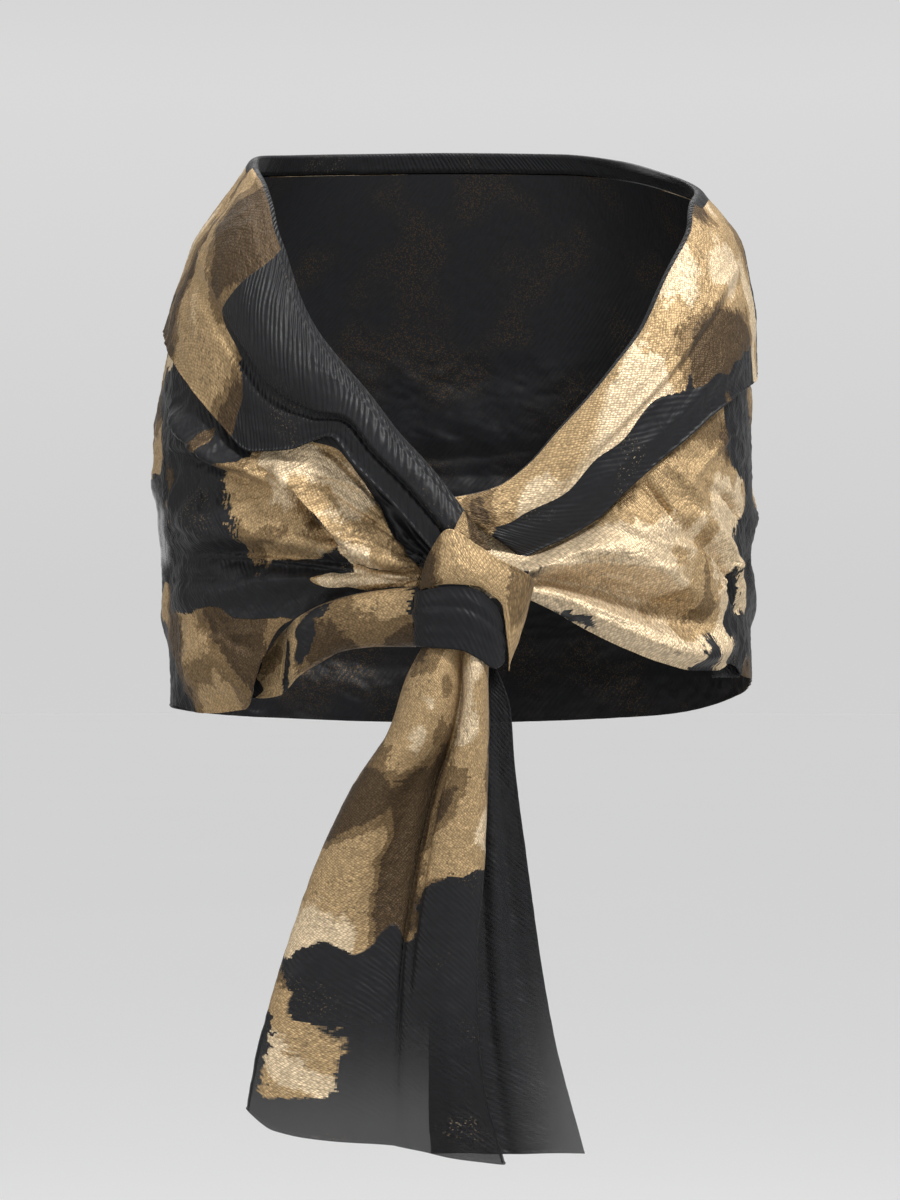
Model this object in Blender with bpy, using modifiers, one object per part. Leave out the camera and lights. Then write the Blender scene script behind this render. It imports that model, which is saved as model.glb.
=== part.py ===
"""Evening stole, worn: a long jacquard organza rectangle wound round the shoulders and knotted in front.

The stole is a thin wall everywhere. Each stretch of it that shows is one object: an open sheet whose
points lie on a general figure's shoulders and arms, lifted off it by the stretch's own folds, and given
its thickness by Solidify. +Z is up and the wearer faces -Y. The origin lies between the shoulders.

A point on the figure is given by its turn in degrees (0 at the spine, 90 at the left arm, 180 at the
breastbone, negative on the right), its height and its lift off the figure, both in millimetres.
"""
import bpy
import bmesh
import math
import numpy as np

MM = 0.001
WALL = 1.2
SEAM = 0.8
SEAM_TURN = 0.25
FOLD_RADIUS = 4.0
INNER_LEG = 16.0
UNDER_FLAP = 0.2
FLAP_SHADOW = (-2.0, 14.0)
FOLD_END = 6.0
SQUARENESS = 0.12
KNOT_RISE = 14.0
KNOT_HEIGHT = -262.0
KNOT_RISE_TURN = 11.0
KNOT_RISE_HEIGHT = 45.0
SIDE_TURN = 105.0
SIDE_FADE = 112.0


def table(columns, *rows):
    """A short table, sorted by its first column, as a dictionary of named columns."""
    return {name: np.array(column, float) for name, column in zip(columns.split(), zip(*sorted(rows)))}


# The figure that wears it: half widths to the right and left, depths to the front and back
FIGURE = table(
    "height right left front back",
    (-400, 222, 240, 106, 95),
    (-370, 220, 239, 107, 95),
    (-324, 221, 237, 110, 96),
    (-253, 228, 237, 118, 100),
    (-182, 232, 238, 124, 106),
    (-110, 226, 236, 122, 108),
    (-63, 216, 232, 112, 106),
    (-32, 203, 226, 102, 103),
    (0, 190, 220, 88, 97),
    (20, 178, 206, 75, 93),
    (43, 163, 189, 60, 88),
    (63, 151, 172, 45, 82),
    (90, 130, 150, 30, 70),
)

# The neck line: where the cloth turns over, all the way round from the knot to the knot
NECK = table(
    "turn height",
    (-184, -228), (-177, -183), (-172, -157), (-167, -129), (-162, -106), (-156, -78),
    (-149, -39), (-143, -7), (-133, 26), (-123, 43), (-110, 55), (-99, 63), (-85, 67),
    (-60, 71), (-30, 75), (0, 77), (30, 75), (50, 68), (70, 55), (88, 44), (100, 37),
    (113, 28), (121, 15), (131, -14), (139, -46), (145, -78), (150, -100), (156, -128),
    (162, -155), (167, -180), (172, -197), (176, -203), (181, -207),
)

# The free edge of the turned-down flap, opposite each place on the neck line
FLAP = table(
    "neck_turn turn height stand",
    (-184, -178, -251, 8), (-177, -170, -205, 7), (-172, -165, -182, 6), (-167, -160, -160, 6),
    (-162, -152, -170, 6), (-156, -144, -171, 5), (-149, -136, -150, 5), (-143, -129, -131, 5),
    (-133, -119, -108, 5), (-123, -110, -91, 5), (-110, -102, -81, 5), (-99, -95, -74, 5),
    (-85, -85, -70, 5), (-60, -60, -72, 5), (-30, -30, -76, 5), (0, 0, -80, 5),
    (30, 30, -84, 5), (50, 50, -91, 5), (70, 71, -99, 5), (88, 88, -106, 5),
    (113, 105, -116, 5), (121, 109, -119, 5), (131, 115, -124, 5), (139, 121, -132, 5),
    (145, 128, -144, 5), (150, 134, -158, 5), (156, 142, -178, 5), (162, 149, -200, 5),
    (167, 155, -223, 5), (172, 161, -238, 5), (176, 165, -246, 5), (181, 168, -253, 5),
)

# The flap's shares that go up inside and over the turn, its puff, and its long ridges and creases:
# how far down the flap, half width, rise
INNER_SHARE = 0.14
TURN_SHARE = 0.34
FLAP_STAND = 5.0
FLAP_PUFF = 4.0
RIGHT_RIDGE = (0.22, 0.2, 6.0)
RIGHT_CREASE = (0.5, 0.06, -3.5)
RIGHT_RIDGE_TURNS = (126, 150)
RIGHT_RIDGE_ENDS = (158, 166)
LEFT_RIDGE = (0.2, 0.16, 3.0)
LEFT_CREASE = (0.52, 0.1, -2.0)
LEFT_RIDGE_TURNS = (96, 136)
BACK_WAVE = 2.0
BACK_WAVES = 5.0
BACK_WAVE_ENDS = (70, 96)
CROSSING = 14.5
CROSSING_TURNS = (162, 176)
COLLAR_RIGHT_END = -184.0
COLLAR_RIGHT_SEAM = -82.0
COLLAR_LEFT_SEAM = 76.0
COLLAR_LEFT_END = 181.0

# The hem round the back and the arms
HEM = table(
    "turn height",
    (-150, -345), (-137, -369), (-120, -372), (-104, -367), (-80, -371), (-40, -379), (0, -384),
    (40, -378), (80, -356), (100, -346), (125, -343), (150, -330),
)

# Folds: three places along each one, its half widths above and below, and how far it stands out there.
# One that falls in is a crease.
FOLD_COLUMNS = (
    "turn_a height_a turn_b height_b turn_c height_c above below rise_a rise_b rise_c"
)
BACK_FOLDS = table(
    FOLD_COLUMNS,
    (-92, -140, -30, -176, 40, -178, 16, 9, 3, 8, 4),
    (-96, -186, -10, -226, 70, -190, 18, 10, 3, 9, 4),
    (-70, -262, 12, -276, 94, -224, 20, 11, 4, 9, 3),
    (-100, -296, -46, -324, 10, -334, 16, 12, 3, 7, 3),
    (24, -332, 62, -312, 98, -276, 17, 11, 3, 7, 3),
    (-60, -206, -44, -240, -30, -280, 9, 9, -2, -5, -2),
    (30, -210, 48, -240, 60, -276, 9, 9, -2, -5, -2),
)
RIGHT_FOLDS = table(
    FOLD_COLUMNS,
    (-114, -134, -133, -172, -150, -196, 12, 4, 4, 14, 4),
    (-149, -180, -157, -216, -167, -256, 12, 3.5, 6, 13, 6),
    (-120, -238, -148, -238, -174, -258, 18, 5, 5, 13, 7),
    (-138, -276, -158, -267, -176, -270, 5, 8, 5, 9, 4),
    (-106, -196, -118, -212, -136, -220, 13, 8, 3, 7, 3),
    (-108, -286, -124, -280, -142, -284, 10, 13, 2, 6, 2),
)
LEFT_FOLDS = table(
    FOLD_COLUMNS,
    (148, -186, 143, -206, 137, -230, 7, 4, -3, -7, -3),
    (140, -176, 134, -196, 128, -214, 9, 7, 3, 6, 2),
    (138, -236, 126, -249, 114, -292, 6, 4, -3, -8, -4),
    (136, -222, 124, -234, 111, -276, 8, 6, 2, 6, 3),
    (122, -200, 116, -212, 110, -222, 5, 4, -2, -6, -2),
    (158, -208, 152, -222, 144, -240, 6, 5, 3, 5, 2),
)
RIGHT_COLUMNS = table(
    "share turn",
    (0, -178), (0.35, -160), (0.52, -151), (0.66, -144), (1, -105.25),
)
BAG_TURN = -128.0
BAG_HEIGHT = -330.0
BAG_REACH = 23.0
BAG_DEPTH = 34.0
BAG_RISE = 14.0
BAG_TUCK = 12.0
BAG_TUCK_FROM = 0.9
BAG_TUCK_TURNS = (105, 125)
BAG_TUCK_ENDS = (134, 144)
BAG_STARTS = (105, 124)

# The rolled hem of the right front, from under the bag to the knot
LIP_GAP = 0.7
LIP_TURNS = (139, 150)
ROLL_FROM = -174.45
ROLL_TO = -135.0
ROLL_TOP_SHARE = 0.04
ROLL_SHARE = 0.9
ROLL_FULLNESS = 0.8
ROLL = table(
    "turn top bottom base rise",
    (-134, -332, -361, -15, 0), (-142, -326, -360, -9, 1), (-146, -312, -358, -8, 3),
    (-149, -305, -352, -5, 6), (-153, -297, -342, 2, 12), (-157, -289, -333, 3, 15),
    (-162, -282, -323, 3, 15), (-168, -277, -320, 3, 15), (-175, -274, -320, 5, 19),
)

# The swoop of the left front: its upper rim, hollow, lower rim and hem
SWOOP = table(
    "turn rim hollow lower hem rim_rise hollow_rise lower_rise",
    (105, -266, -300, -322, -340, 0, 0, 0), (116, -275, -299, -318, -334, 4, 3, 6),
    (123, -283, -301, -324, -339, 8, 4, 13), (131, -281, -300, -328, -339, 13, 2, 19),
    (140, -265, -291, -323, -333, 19, -2, 22), (149, -250, -277, -311, -321, 25, -4, 23),
    (156, -246, -268, -298, -308, 25, -1, 22), (162, -251, -268, -284, -294, 22, 5, 20),
    (168, -264, -271, -277, -283, 16, 9, 14),
)

SWOOP_START = 7.0
SWOOP_HEM = (105, 116)
SWOOP_TURNS_IN = 0.85
LEFT_EDGE = 167.0

# The plain layer that shows under the swoop
UNDER_LEFT_FROM = 108.0
UNDER_LEFT_TO = 121.0
UNDER_LEFT_TOP = -296.0
UNDER_LEFT_FOOT = -345.0
UNDER_LEFT_LIFT = -1.9
UNDER_LEFT_DROP = 4.0

# The knot: its axis stands just in front of the figure
KNOT_X = 7.0
KNOT_Y = -150.0
BAND = table(
    "around top bottom width depth",
    (-180, -282, -320, 35, 21), (-90, -280, -319, 35, 23), (-51, -277, -320, 36, 24),
    (0, -273, -322, 36, 24), (25, -277, -329, 36, 24), (50, -287, -336, 36, 24),
    (71, -296, -333, 36, 23), (90, -304, -323, 36, 23),
    (130, -292, -320, 35, 22), (180, -282, -320, 35, 21),
)
WRAP = table(
    "around top bottom width waist depth chin lean",
    (-100, -270, -278, 28, 29, 22, 22, 5), (-70, -262, -277, 29, 31, 26, 22.5, 7),
    (-45, -249, -275, 32, 34, 29, 23, 9), (-12, -231, -272.5, 36, 36, 31, 24, 10),
    (20, -243.5, -274, 43, 38, 31, 24.5, 10), (40, -254, -281, 49, 38.5, 30, 25, 9),
    (58, -261, -289, 54, 38.8, 28, 26, 7), (72, -266, -318, 57, 39, 27, 26.5, 4),
    (92, -272, -338, 58, 38, 26, 26.5, 2),
)
WRAP_FROM = 92.0
WRAP_TO = -100.0
NARROWS = (-0.15, 0.85)
CHIN = (0.35, 1.0)
BAND_EDGE = 1.2
TIP_BLUNT = 0.08
TIP_BULGE = 2.0
TIP_BASE_LEFT = -5.0
TIP_BASE_RIGHT = 31.0
TIP_X = 11.0
TIP_TOP = -218.0
TIP_FOOT = -247.0
TIP_Y = -169.4
TIP_SLANT = 0.15

# The front tail: edges and the fold between its two tubes, across and in depth, at each height
TAIL = table(
    "height left valley right front tube_left tube_right",
    (-317, -19.4, 9, 30.2, -167.1, 13.4, 12.4), (-345, -34, 9, 29, -171, 21, 18),
    (-380, -45, 4, 30, -171, 24, 20), (-430, -76, -12, 29, -167, 25, 20),
    (-490, -103, -25, 26, -164, 22, 19), (-545, -121, -34, 21, -162, 18, 18),
    (-600, -136, -38, 22, -162, 14, 16), (-650, -147, -40, 28, -162, 11, 13),
    (-698, -154, -42, 42, -163, 9, 11),
)
TAIL_HEM = table(
    "across height",
    (-156, -667), (-132, -684), (-92, -692), (-42, -696), (0, -704), (48, -711),
)
TAIL_TOP = -317.0
TAIL_FOOT = -698.0
FIRST_TUBE = 0.55
TUBE_START = 0.04
TUBE_TURN = 0.9
TUBE_CURL = 0.12
TUBE_BACK = 0.25
RECESS = 0.85
RECESS_FROM = (0.38, 0.68)
BOXY = 0.35
TUBES_PART = (0.1, 0.3)

# The second end, hanging behind it
TAIL_BACK_TOP = -312.0
TAIL_BACK_FOOT = -704.0
TAIL_BACK_RIPPLE = 3.0
INSIDE_BAND = 16.9
INSIDE_BAND_WIDTH = 28.5
TAIL_BACK = table(
    "height left right back",
    (-312, -8, 22, -131), (-328, 2, 31, -133), (-367, 0, 46, -136), (-407, -4, 49, -135),
    (-486, -10, 59, -134), (-565, -14, 70, -134), (-620, -16, 80, -135), (-671, -16, 93, -137),
    (-704, -14, 102, -139),
)

COLOURS = {
    "black": ((0.012, 0.012, 0.014, 1.0), 0.55, 0.0),
    "gold": ((0.48, 0.34, 0.17, 1.0), 0.38, 0.7),
    "sheer": ((0.03, 0.03, 0.035, 1.0), 0.5, 0.0),
}


def between(rows, key, column, at):
    """A column of a table read between its rows, on a smooth curve that does not overshoot."""
    places = rows[key]
    values = rows[column]
    step = np.diff(places)
    slope = np.diff(values) / step
    product = slope[:-1] * slope[1:]
    total = np.where(product > 0, slope[:-1] + slope[1:], 1.0)
    tangent = np.concatenate(([slope[0]], np.where(product > 0, 2 * product / total, 0.0), [slope[-1]]))
    row = np.clip(np.searchsorted(places, at, side="right") - 1, 0, len(places) - 2)
    t = np.clip((at - places[row]) / step[row], 0.0, 1.0)
    start = values[row] * (2 * t**3 - 3 * t**2 + 1) + tangent[row] * step[row] * (t**3 - 2 * t**2 + t)
    return start + values[row + 1] * (3 * t**2 - 2 * t**3) + tangent[row + 1] * step[row] * (t**3 - t**2)


def ease(value, low, high):
    """0 up to low, 1 from high on, and a soft step between them."""
    t = np.clip((value - low) / (high - low), 0.0, 1.0)
    return t * t * (3 - 2 * t)


def bump(distance, width):
    """A soft ridge of height 1, width being its half width at about half its height."""
    return np.exp(-0.7 * (distance / width) ** 2)


def sheet_point(turn, height, lift):
    """Points on the figure at a turn, height and lift, in metres."""
    turn, height, lift = np.broadcast_arrays(turn, height, lift)
    side = np.sin(np.radians(turn))
    along = np.cos(np.radians(turn))
    right, left, front, back = (
        between(FIGURE, "height", name, height) for name in ("right", "left", "front", "back")
    )
    from_knot = np.abs(np.abs(turn) - 180.0)
    rise = KNOT_RISE * bump(from_knot, KNOT_RISE_TURN) * bump(height - KNOT_HEIGHT, KNOT_RISE_HEIGHT)
    across = (left + right) / 2 + (left - right) / 2 * side + lift
    deep = (back + front) / 2 + (back - front) / 2 * along + lift + rise
    x = across * side * (1 + SQUARENESS * along**2)
    y = deep * along * (1 + SQUARENESS * side**2)
    return np.stack([x, y, height], axis=-1) * MM


def folds(rows, turn, height):
    """How far a set of folds lifts the cloth: each rises over its upper side and drops under its lower."""
    lift = np.zeros(np.broadcast(turn, height).shape)
    for a, b, c, high_a, high_b, high_c, above, below, rise_a, rise_b, rise_c in zip(*(
        rows[name] for name in (
            "turn_a", "turn_b", "turn_c", "height_a", "height_b", "height_c",
            "above", "below", "rise_a", "rise_b", "rise_c",
        )
    )):
        at = np.clip(turn, min(a, c), max(a, c))
        part_a = (at - b) * (at - c) / ((a - b) * (a - c))
        part_b = (at - a) * (at - c) / ((b - a) * (b - c))
        part_c = (at - a) * (at - b) / ((c - a) * (c - b))
        middle = high_a * part_a + high_b * part_b + high_c * part_c
        rise = rise_a * part_a + rise_b * part_b + rise_c * part_c
        distance = height - middle
        width = np.where(distance > 0, above, below)
        lift += rise * bump(distance, width) * bump(turn - at, FOLD_END)
    return lift


def down_the_sheet(turn, v, hem):
    """Height at a share of the way down a stretch, whose first rows lie hidden under the flap."""
    top = between(NECK, "turn", "height", turn) - INNER_LEG - SEAM
    edge = between(FLAP, "turn", "height", turn)
    hidden = edge + (top - edge) * (1 - v / UNDER_FLAP)
    return np.where(v < UNDER_FLAP, hidden, edge + (hem - edge) * (v - UNDER_FLAP) / (1 - UNDER_FLAP))


def past_flap(turn, height):
    """0 under the flap, 1 from a little below its edge."""
    return ease(between(FLAP, "turn", "height", turn) - height, *FLAP_SHADOW)


def back_wrap(u, v):
    turn = SIDE_TURN * (2 * u - 1)
    height = down_the_sheet(turn, v, between(HEM, "turn", "height", turn))
    return sheet_point(turn, height, folds(BACK_FOLDS, turn, height) * past_flap(turn, height))


def collar(start, end):
    """The turned-down top between two places on the neck line: up inside, over the fold, down outside."""
    def shape(u, v):
        neck_turn = start + (end - start) * u
        neck_height = between(NECK, "turn", "height", neck_turn)
        turn = between(FLAP, "neck_turn", "turn", neck_turn)
        height = between(FLAP, "neck_turn", "height", neck_turn)
        stand = between(FLAP, "neck_turn", "stand", neck_turn)
        up = np.clip(v / INNER_SHARE, 0, 1)
        over = np.clip((v - INNER_SHARE) / (TURN_SHARE - INNER_SHARE), 0, 1) * math.pi
        down = np.clip((v - TURN_SHARE) / (1 - TURN_SHARE), 0, 1)
        middle = neck_height - FOLD_RADIUS
        out_turn = neck_turn + (turn - neck_turn) * down
        out_height = middle + (height - middle) * down
        leg_height = neck_height - INNER_LEG + (INNER_LEG - FOLD_RADIUS) * up
        at_turn = np.where(v < TURN_SHARE, neck_turn, out_turn)
        over_height = np.where(v < TURN_SHARE, middle + FOLD_RADIUS * np.sin(over), out_height)
        at_height = np.where(v < INNER_SHARE, leg_height, over_height)
        puff = stand - FLAP_STAND + FLAP_PUFF * np.sin(math.pi * down) ** 2
        on_right = ease(-neck_turn, *RIGHT_RIDGE_TURNS) * (1 - ease(-neck_turn, *RIGHT_RIDGE_ENDS))
        on_left = ease(neck_turn, *LEFT_RIDGE_TURNS)
        on_back = 1 - ease(np.abs(neck_turn), *BACK_WAVE_ENDS)
        for share, width, rise in (RIGHT_RIDGE, RIGHT_CREASE):
            puff = puff + on_right * rise * bump(down - share, width)
        for share, width, rise in (LEFT_RIDGE, LEFT_CREASE):
            puff = puff + on_left * rise * bump(down - share, width)
        puff = puff + on_back * BACK_WAVE * np.sin(np.radians(neck_turn * BACK_WAVES)) * down
        side = FOLD_RADIUS * (1 - np.cos(over)) - WALL
        lift = np.where(v < TURN_SHARE, side, 2 * FOLD_RADIUS - WALL + puff)
        return sheet_point(at_turn, at_height, lift + crossing(neck_turn))
    return shape


def crossing(neck_turn):
    """Where the two collars cross in front, the right one lies over the left one."""
    return CROSSING * ease(-neck_turn, *CROSSING_TURNS)


def front_right(u, v):
    turn = between(RIGHT_COLUMNS, "share", "turn", u)
    hem = between(HEM, "turn", "height", turn)
    above_roll = between(ROLL, "turn", "top", turn) + LIP_GAP
    hem = hem + (above_roll - hem) * ease(-turn, *LIP_TURNS)
    height = down_the_sheet(turn, v, hem)
    lift = folds(RIGHT_FOLDS, turn, height) * past_flap(turn, height) * ease(-turn, SIDE_TURN, SIDE_FADE)
    bag = BAG_RISE * bump(turn - BAG_TURN, BAG_REACH) * bump(height - BAG_HEIGHT, BAG_DEPTH)
    lift += bag * ease(-turn, *BAG_STARTS)
    tucked = ease(-turn, *BAG_TUCK_TURNS) * (1 - ease(-turn, *BAG_TUCK_ENDS))
    return sheet_point(turn, height, lift - BAG_TUCK * ease(v, BAG_TUCK_FROM, 1.0) * tucked)


def roll_right(u, v):
    turn = ROLL_FROM + (ROLL_TO - ROLL_FROM) * u
    names = ("top", "bottom", "base", "rise")
    top, bottom, base, rise = (between(ROLL, "turn", name, turn) for name in names)
    height = top + (bottom - top) * (1 - np.cos(math.pi * v)) / 2
    lift = base + rise * np.sin(math.pi * (ROLL_TOP_SHARE + ROLL_SHARE * v)) ** ROLL_FULLNESS
    return sheet_point(turn, height, lift)


def front_left(u, v):
    turn = SIDE_TURN + SEAM_TURN + (LEFT_EDGE - SIDE_TURN) * u
    names = ("rim", "hollow", "lower", "hem")
    rim, hollow, lower, hem = (between(SWOOP, "turn", name, turn) for name in names)
    hem = between(HEM, "turn", "height", turn) * (1 - ease(turn, *SWOOP_HEM)) + hem * ease(turn, *SWOOP_HEM)
    height = down_the_sheet(turn, v, hem)
    rises = (between(SWOOP, "turn", name + "_rise", turn) for name in ("rim", "hollow", "lower"))
    rim_rise, hollow_rise, lower_rise = rises
    flap_edge = between(FLAP, "turn", "height", turn)
    lift = rim_rise * ease(flap_edge - height, 1, np.maximum(flap_edge - rim, SWOOP_START))
    into = rim_rise + (hollow_rise - rim_rise) * ease(rim - height, 0, rim - hollow)
    lift = np.where(height < rim, into, lift)
    deep = hollow_rise + (lower_rise - hollow_rise) * ease(hollow - height, 0, hollow - lower)
    lift = np.where(height < hollow, deep, lift)
    under = lower_rise * (1 - SWOOP_TURNS_IN * ease(lower - height, 0, np.maximum(lower - hem, 1)))
    lift = np.where(height < lower, under, lift)
    lift += folds(LEFT_FOLDS, turn, height) * past_flap(turn, height) * ease(turn, SIDE_TURN, SIDE_FADE)
    return sheet_point(turn, height, lift)


def under_left(u, v):
    turn = UNDER_LEFT_FROM + (UNDER_LEFT_TO - UNDER_LEFT_FROM) * u
    height = UNDER_LEFT_TOP + (UNDER_LEFT_FOOT - UNDER_LEFT_TOP) * v
    return sheet_point(turn, height, UNDER_LEFT_LIFT - UNDER_LEFT_DROP * ease(u, 0.0, 0.5))


def round_knot(around, width, depth, height, lean):
    x = KNOT_X + width * np.sin(np.radians(around))
    y = KNOT_Y - depth * np.cos(np.radians(around)) + lean
    return np.stack([x, y, height], axis=-1) * MM


def knot_wrap(u, v):
    around = WRAP_FROM + (WRAP_TO - WRAP_FROM) * u
    top, bottom, width, waist, depth, chin, lean = (
        between(WRAP, "around", name, around)
        for name in ("top", "bottom", "width", "waist", "depth", "chin", "lean")
    )
    height = top + (bottom - top) * np.sin(v * math.pi / 2)
    width = width + (waist - width) * ease(v, *NARROWS)
    depth = depth + (chin - depth) * ease(v, *CHIN)
    return round_knot(around, width, depth, height, lean * (1 - v) ** 2)


def knot_tip(u, v):
    edge = TIP_BASE_RIGHT + (TIP_BASE_LEFT - TIP_BASE_RIGHT) * u
    x = TIP_X + (edge - TIP_X) * (TIP_BLUNT + (1 - TIP_BLUNT) * v)
    height = TIP_TOP + (TIP_FOOT - TIP_TOP) * v
    y = TIP_Y + TIP_SLANT * x - TIP_BULGE * np.sin(math.pi * u) * v
    return np.stack([x, y, height + 0 * x], axis=-1) * MM


def tube_fold(part, low, high, depth):
    """Across and out along a tube fold seen from its end: part 0 to 1 goes round the front of it."""
    angle = math.pi * part
    seen = np.clip(angle, -TUBE_BACK, math.pi + TUBE_BACK)
    middle = (low + high) / 2
    return middle - (high - low) / 2 * np.cos(angle), -depth * np.sin(seen)


def tail_front(u, v):
    height = TAIL_TOP + (TAIL_FOOT - TAIL_TOP) * v
    left, valley, right, front, tube_left, tube_right = (
        between(TAIL, "height", name, height) for name in
        ("left", "valley", "right", "front", "tube_left", "tube_right")
    )
    across = 1 - u
    share_left = across / FIRST_TUBE
    share_right = (across - FIRST_TUBE) / (1 - FIRST_TUBE)
    part_left = TUBE_START - TUBE_CURL + (TUBE_TURN + TUBE_CURL) * share_left
    part_right = 1 - TUBE_TURN - TUBE_START + (TUBE_TURN + TUBE_START + TUBE_CURL) * share_right
    x_left, y_left = tube_fold(part_left, left, valley, tube_left)
    x_right, y_right = tube_fold(part_right, valley, right, tube_right)
    x = np.where(share_left < 1, x_left, x_right)
    parted = ease(v, *TUBES_PART)
    y_left = y_left * (1 - RECESS * ease(part_left, *RECESS_FROM) * parted)
    fuller = np.maximum(-y_right / tube_right, 0.02) ** (-BOXY * parted)
    y_right = y_right * np.where(y_right < 0, fuller, 1.0)
    y = front + np.where(share_left < 1, tube_left + y_left, tube_right + y_right)
    height = TAIL_TOP + (between(TAIL_HEM, "across", "height", x) - TAIL_TOP) * v
    return np.stack([x, y, height], axis=-1) * MM


def tail_back(u, v):
    height = TAIL_BACK_TOP + (TAIL_BACK_FOOT - TAIL_BACK_TOP) * v
    left, right, back = (between(TAIL_BACK, "height", name, height) for name in ("left", "right", "back"))
    x = right + (left - right) * u
    from_axis = np.clip((x - KNOT_X) / INSIDE_BAND_WIDTH, -0.95, 0.95)
    against_band = KNOT_Y + INSIDE_BAND * np.sqrt(1 - from_axis**2)
    y = back + TAIL_BACK_RIPPLE * np.sin(3 * math.pi * u) * ease(v, 0.1, 0.6)
    y = against_band + (y - against_band) * ease(v, 0.02, 0.1)
    return np.stack([x, y, height + 0 * x], axis=-1) * MM


def band_ring(u, v):
    around = 180.0 - 360.0 * u
    top = between(BAND, "around", "top", around)
    bottom = between(BAND, "around", "bottom", around)
    height = top + (bottom - top) * v
    edge_in = BAND_EDGE * (1 - np.sin(math.pi * v))
    width = between(BAND, "around", "width", around) - edge_in
    depth = between(BAND, "around", "depth", around) - edge_in
    return round_knot(around, width, depth, height, 0.0)


def start_empty():
    for thing in list(bpy.data.objects):
        bpy.data.objects.remove(thing, do_unlink=True)
    stole = bpy.data.collections.new("evening_stole")
    bpy.context.scene.collection.children.link(stole)
    return stole


def cloth(name):
    colour, roughness, metallic = COLOURS[name]
    material = bpy.data.materials.new(name)
    material.use_nodes = True
    shader = material.node_tree.nodes["Principled BSDF"]
    shader.inputs["Base Color"].default_value = colour
    shader.inputs["Roughness"].default_value = roughness
    shader.inputs["Metallic"].default_value = metallic
    return material


def wall(stole, name, shape, columns, rows, colour, closed=False):
    """One stretch of cloth: a grid laid on a shape, given its thickness on the inner side."""
    sheet = bmesh.new()
    bmesh.ops.create_grid(sheet, x_segments=columns, y_segments=rows, size=0.5)
    places = np.array([point.co[:2] for point in sheet.verts])
    points = shape(places[:, 0] + 0.5, places[:, 1] + 0.5)
    for vertex, point in zip(sheet.verts, points):
        vertex.co = point
    if closed:
        bmesh.ops.remove_doubles(sheet, verts=sheet.verts, dist=1e-6)
    mesh = bpy.data.meshes.new(name)
    sheet.to_mesh(mesh)
    sheet.free()
    mesh.materials.append(cloth(colour))
    mesh.shade_smooth()
    piece = bpy.data.objects.new(name, mesh)
    stole.objects.link(piece)
    thicken = piece.modifiers.new("wall", "SOLIDIFY")
    thicken.thickness = WALL * MM
    thicken.offset = -1.0
    return piece


def build():
    stole = start_empty()
    wall(stole, "back_wrap", back_wrap, 24, 20, "gold")
    wall(stole, "collar_back", collar(COLLAR_RIGHT_SEAM, COLLAR_LEFT_SEAM), 22, 12, "black")
    wall(stole, "collar_right", collar(COLLAR_RIGHT_END, COLLAR_RIGHT_SEAM - SEAM_TURN), 24, 12, "black")
    wall(stole, "collar_left", collar(COLLAR_LEFT_SEAM + SEAM_TURN, COLLAR_LEFT_END), 24, 12, "gold")
    wall(stole, "front_right", front_right, 24, 20, "gold")
    wall(stole, "roll_right", roll_right, 14, 6, "black")
    wall(stole, "front_left", front_left, 20, 20, "gold")
    wall(stole, "under_left", under_left, 6, 3, "black")
    wall(stole, "knot_wrap", knot_wrap, 16, 7, "gold")
    wall(stole, "knot_band", band_ring, 24, 4, "black", closed=True)
    wall(stole, "knot_tip", knot_tip, 4, 4, "gold")
    wall(stole, "tail_front", tail_front, 24, 16, "gold")
    wall(stole, "tail_back", tail_back, 8, 14, "sheer")


build()
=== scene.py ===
"""Evening stole, worn: its looks. Each stretch is a thin shell of cloth on the same form as its solid.

A point on the figure is given by its turn in degrees (0 at the spine, 90 at the left arm, 180 at the
breastbone, negative on the right), its height and its lift off the figure, both in millimetres.
A place on the cloth is given in millimetres too: across the stole, and along it.
"""
import math
import bpy
import numpy as np
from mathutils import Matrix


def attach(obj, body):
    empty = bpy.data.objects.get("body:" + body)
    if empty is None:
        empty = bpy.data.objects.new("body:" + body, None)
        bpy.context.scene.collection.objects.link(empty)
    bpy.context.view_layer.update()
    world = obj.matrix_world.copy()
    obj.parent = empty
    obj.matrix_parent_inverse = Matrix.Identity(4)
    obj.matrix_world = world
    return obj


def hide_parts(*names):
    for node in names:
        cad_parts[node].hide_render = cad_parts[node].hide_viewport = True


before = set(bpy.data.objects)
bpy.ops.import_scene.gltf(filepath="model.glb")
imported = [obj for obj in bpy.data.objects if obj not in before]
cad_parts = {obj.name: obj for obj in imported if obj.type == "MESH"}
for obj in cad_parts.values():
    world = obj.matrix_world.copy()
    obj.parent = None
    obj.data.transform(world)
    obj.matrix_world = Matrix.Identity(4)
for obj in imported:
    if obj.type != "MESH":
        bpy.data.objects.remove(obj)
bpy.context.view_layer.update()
scene = bpy.context.scene

# The solids' wall and seams, and the turned-down top: its fold, its leg inside, and what it covers
MM = 0.001
WALL = 1.2
SEAM = 0.8
FOLD_RADIUS = 4
INNER_LEG = 16
UNDER_FLAP = 0.2
FLAP_SHADOW = (-2, 14)
FOLD_END = 6

# How square the figure is, how the knot pushes the cloth out there, and where back and fronts meet
SQUARENESS = 0.12
KNOT_RISE = 14
KNOT_HEIGHT = -262
KNOT_RISE_TURN = 11
KNOT_RISE_HEIGHT = 45
SIDE_TURN = 105
SIDE_FADE = 112


def table(columns, numbers):
    """A table as a dictionary of named columns, its rows sorted."""
    names = columns.split()
    rows = sorted(np.array(numbers.split(), float).reshape(-1, len(names)).tolist())
    return {name: np.array(column) for name, column in zip(names, zip(*rows))}


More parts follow.
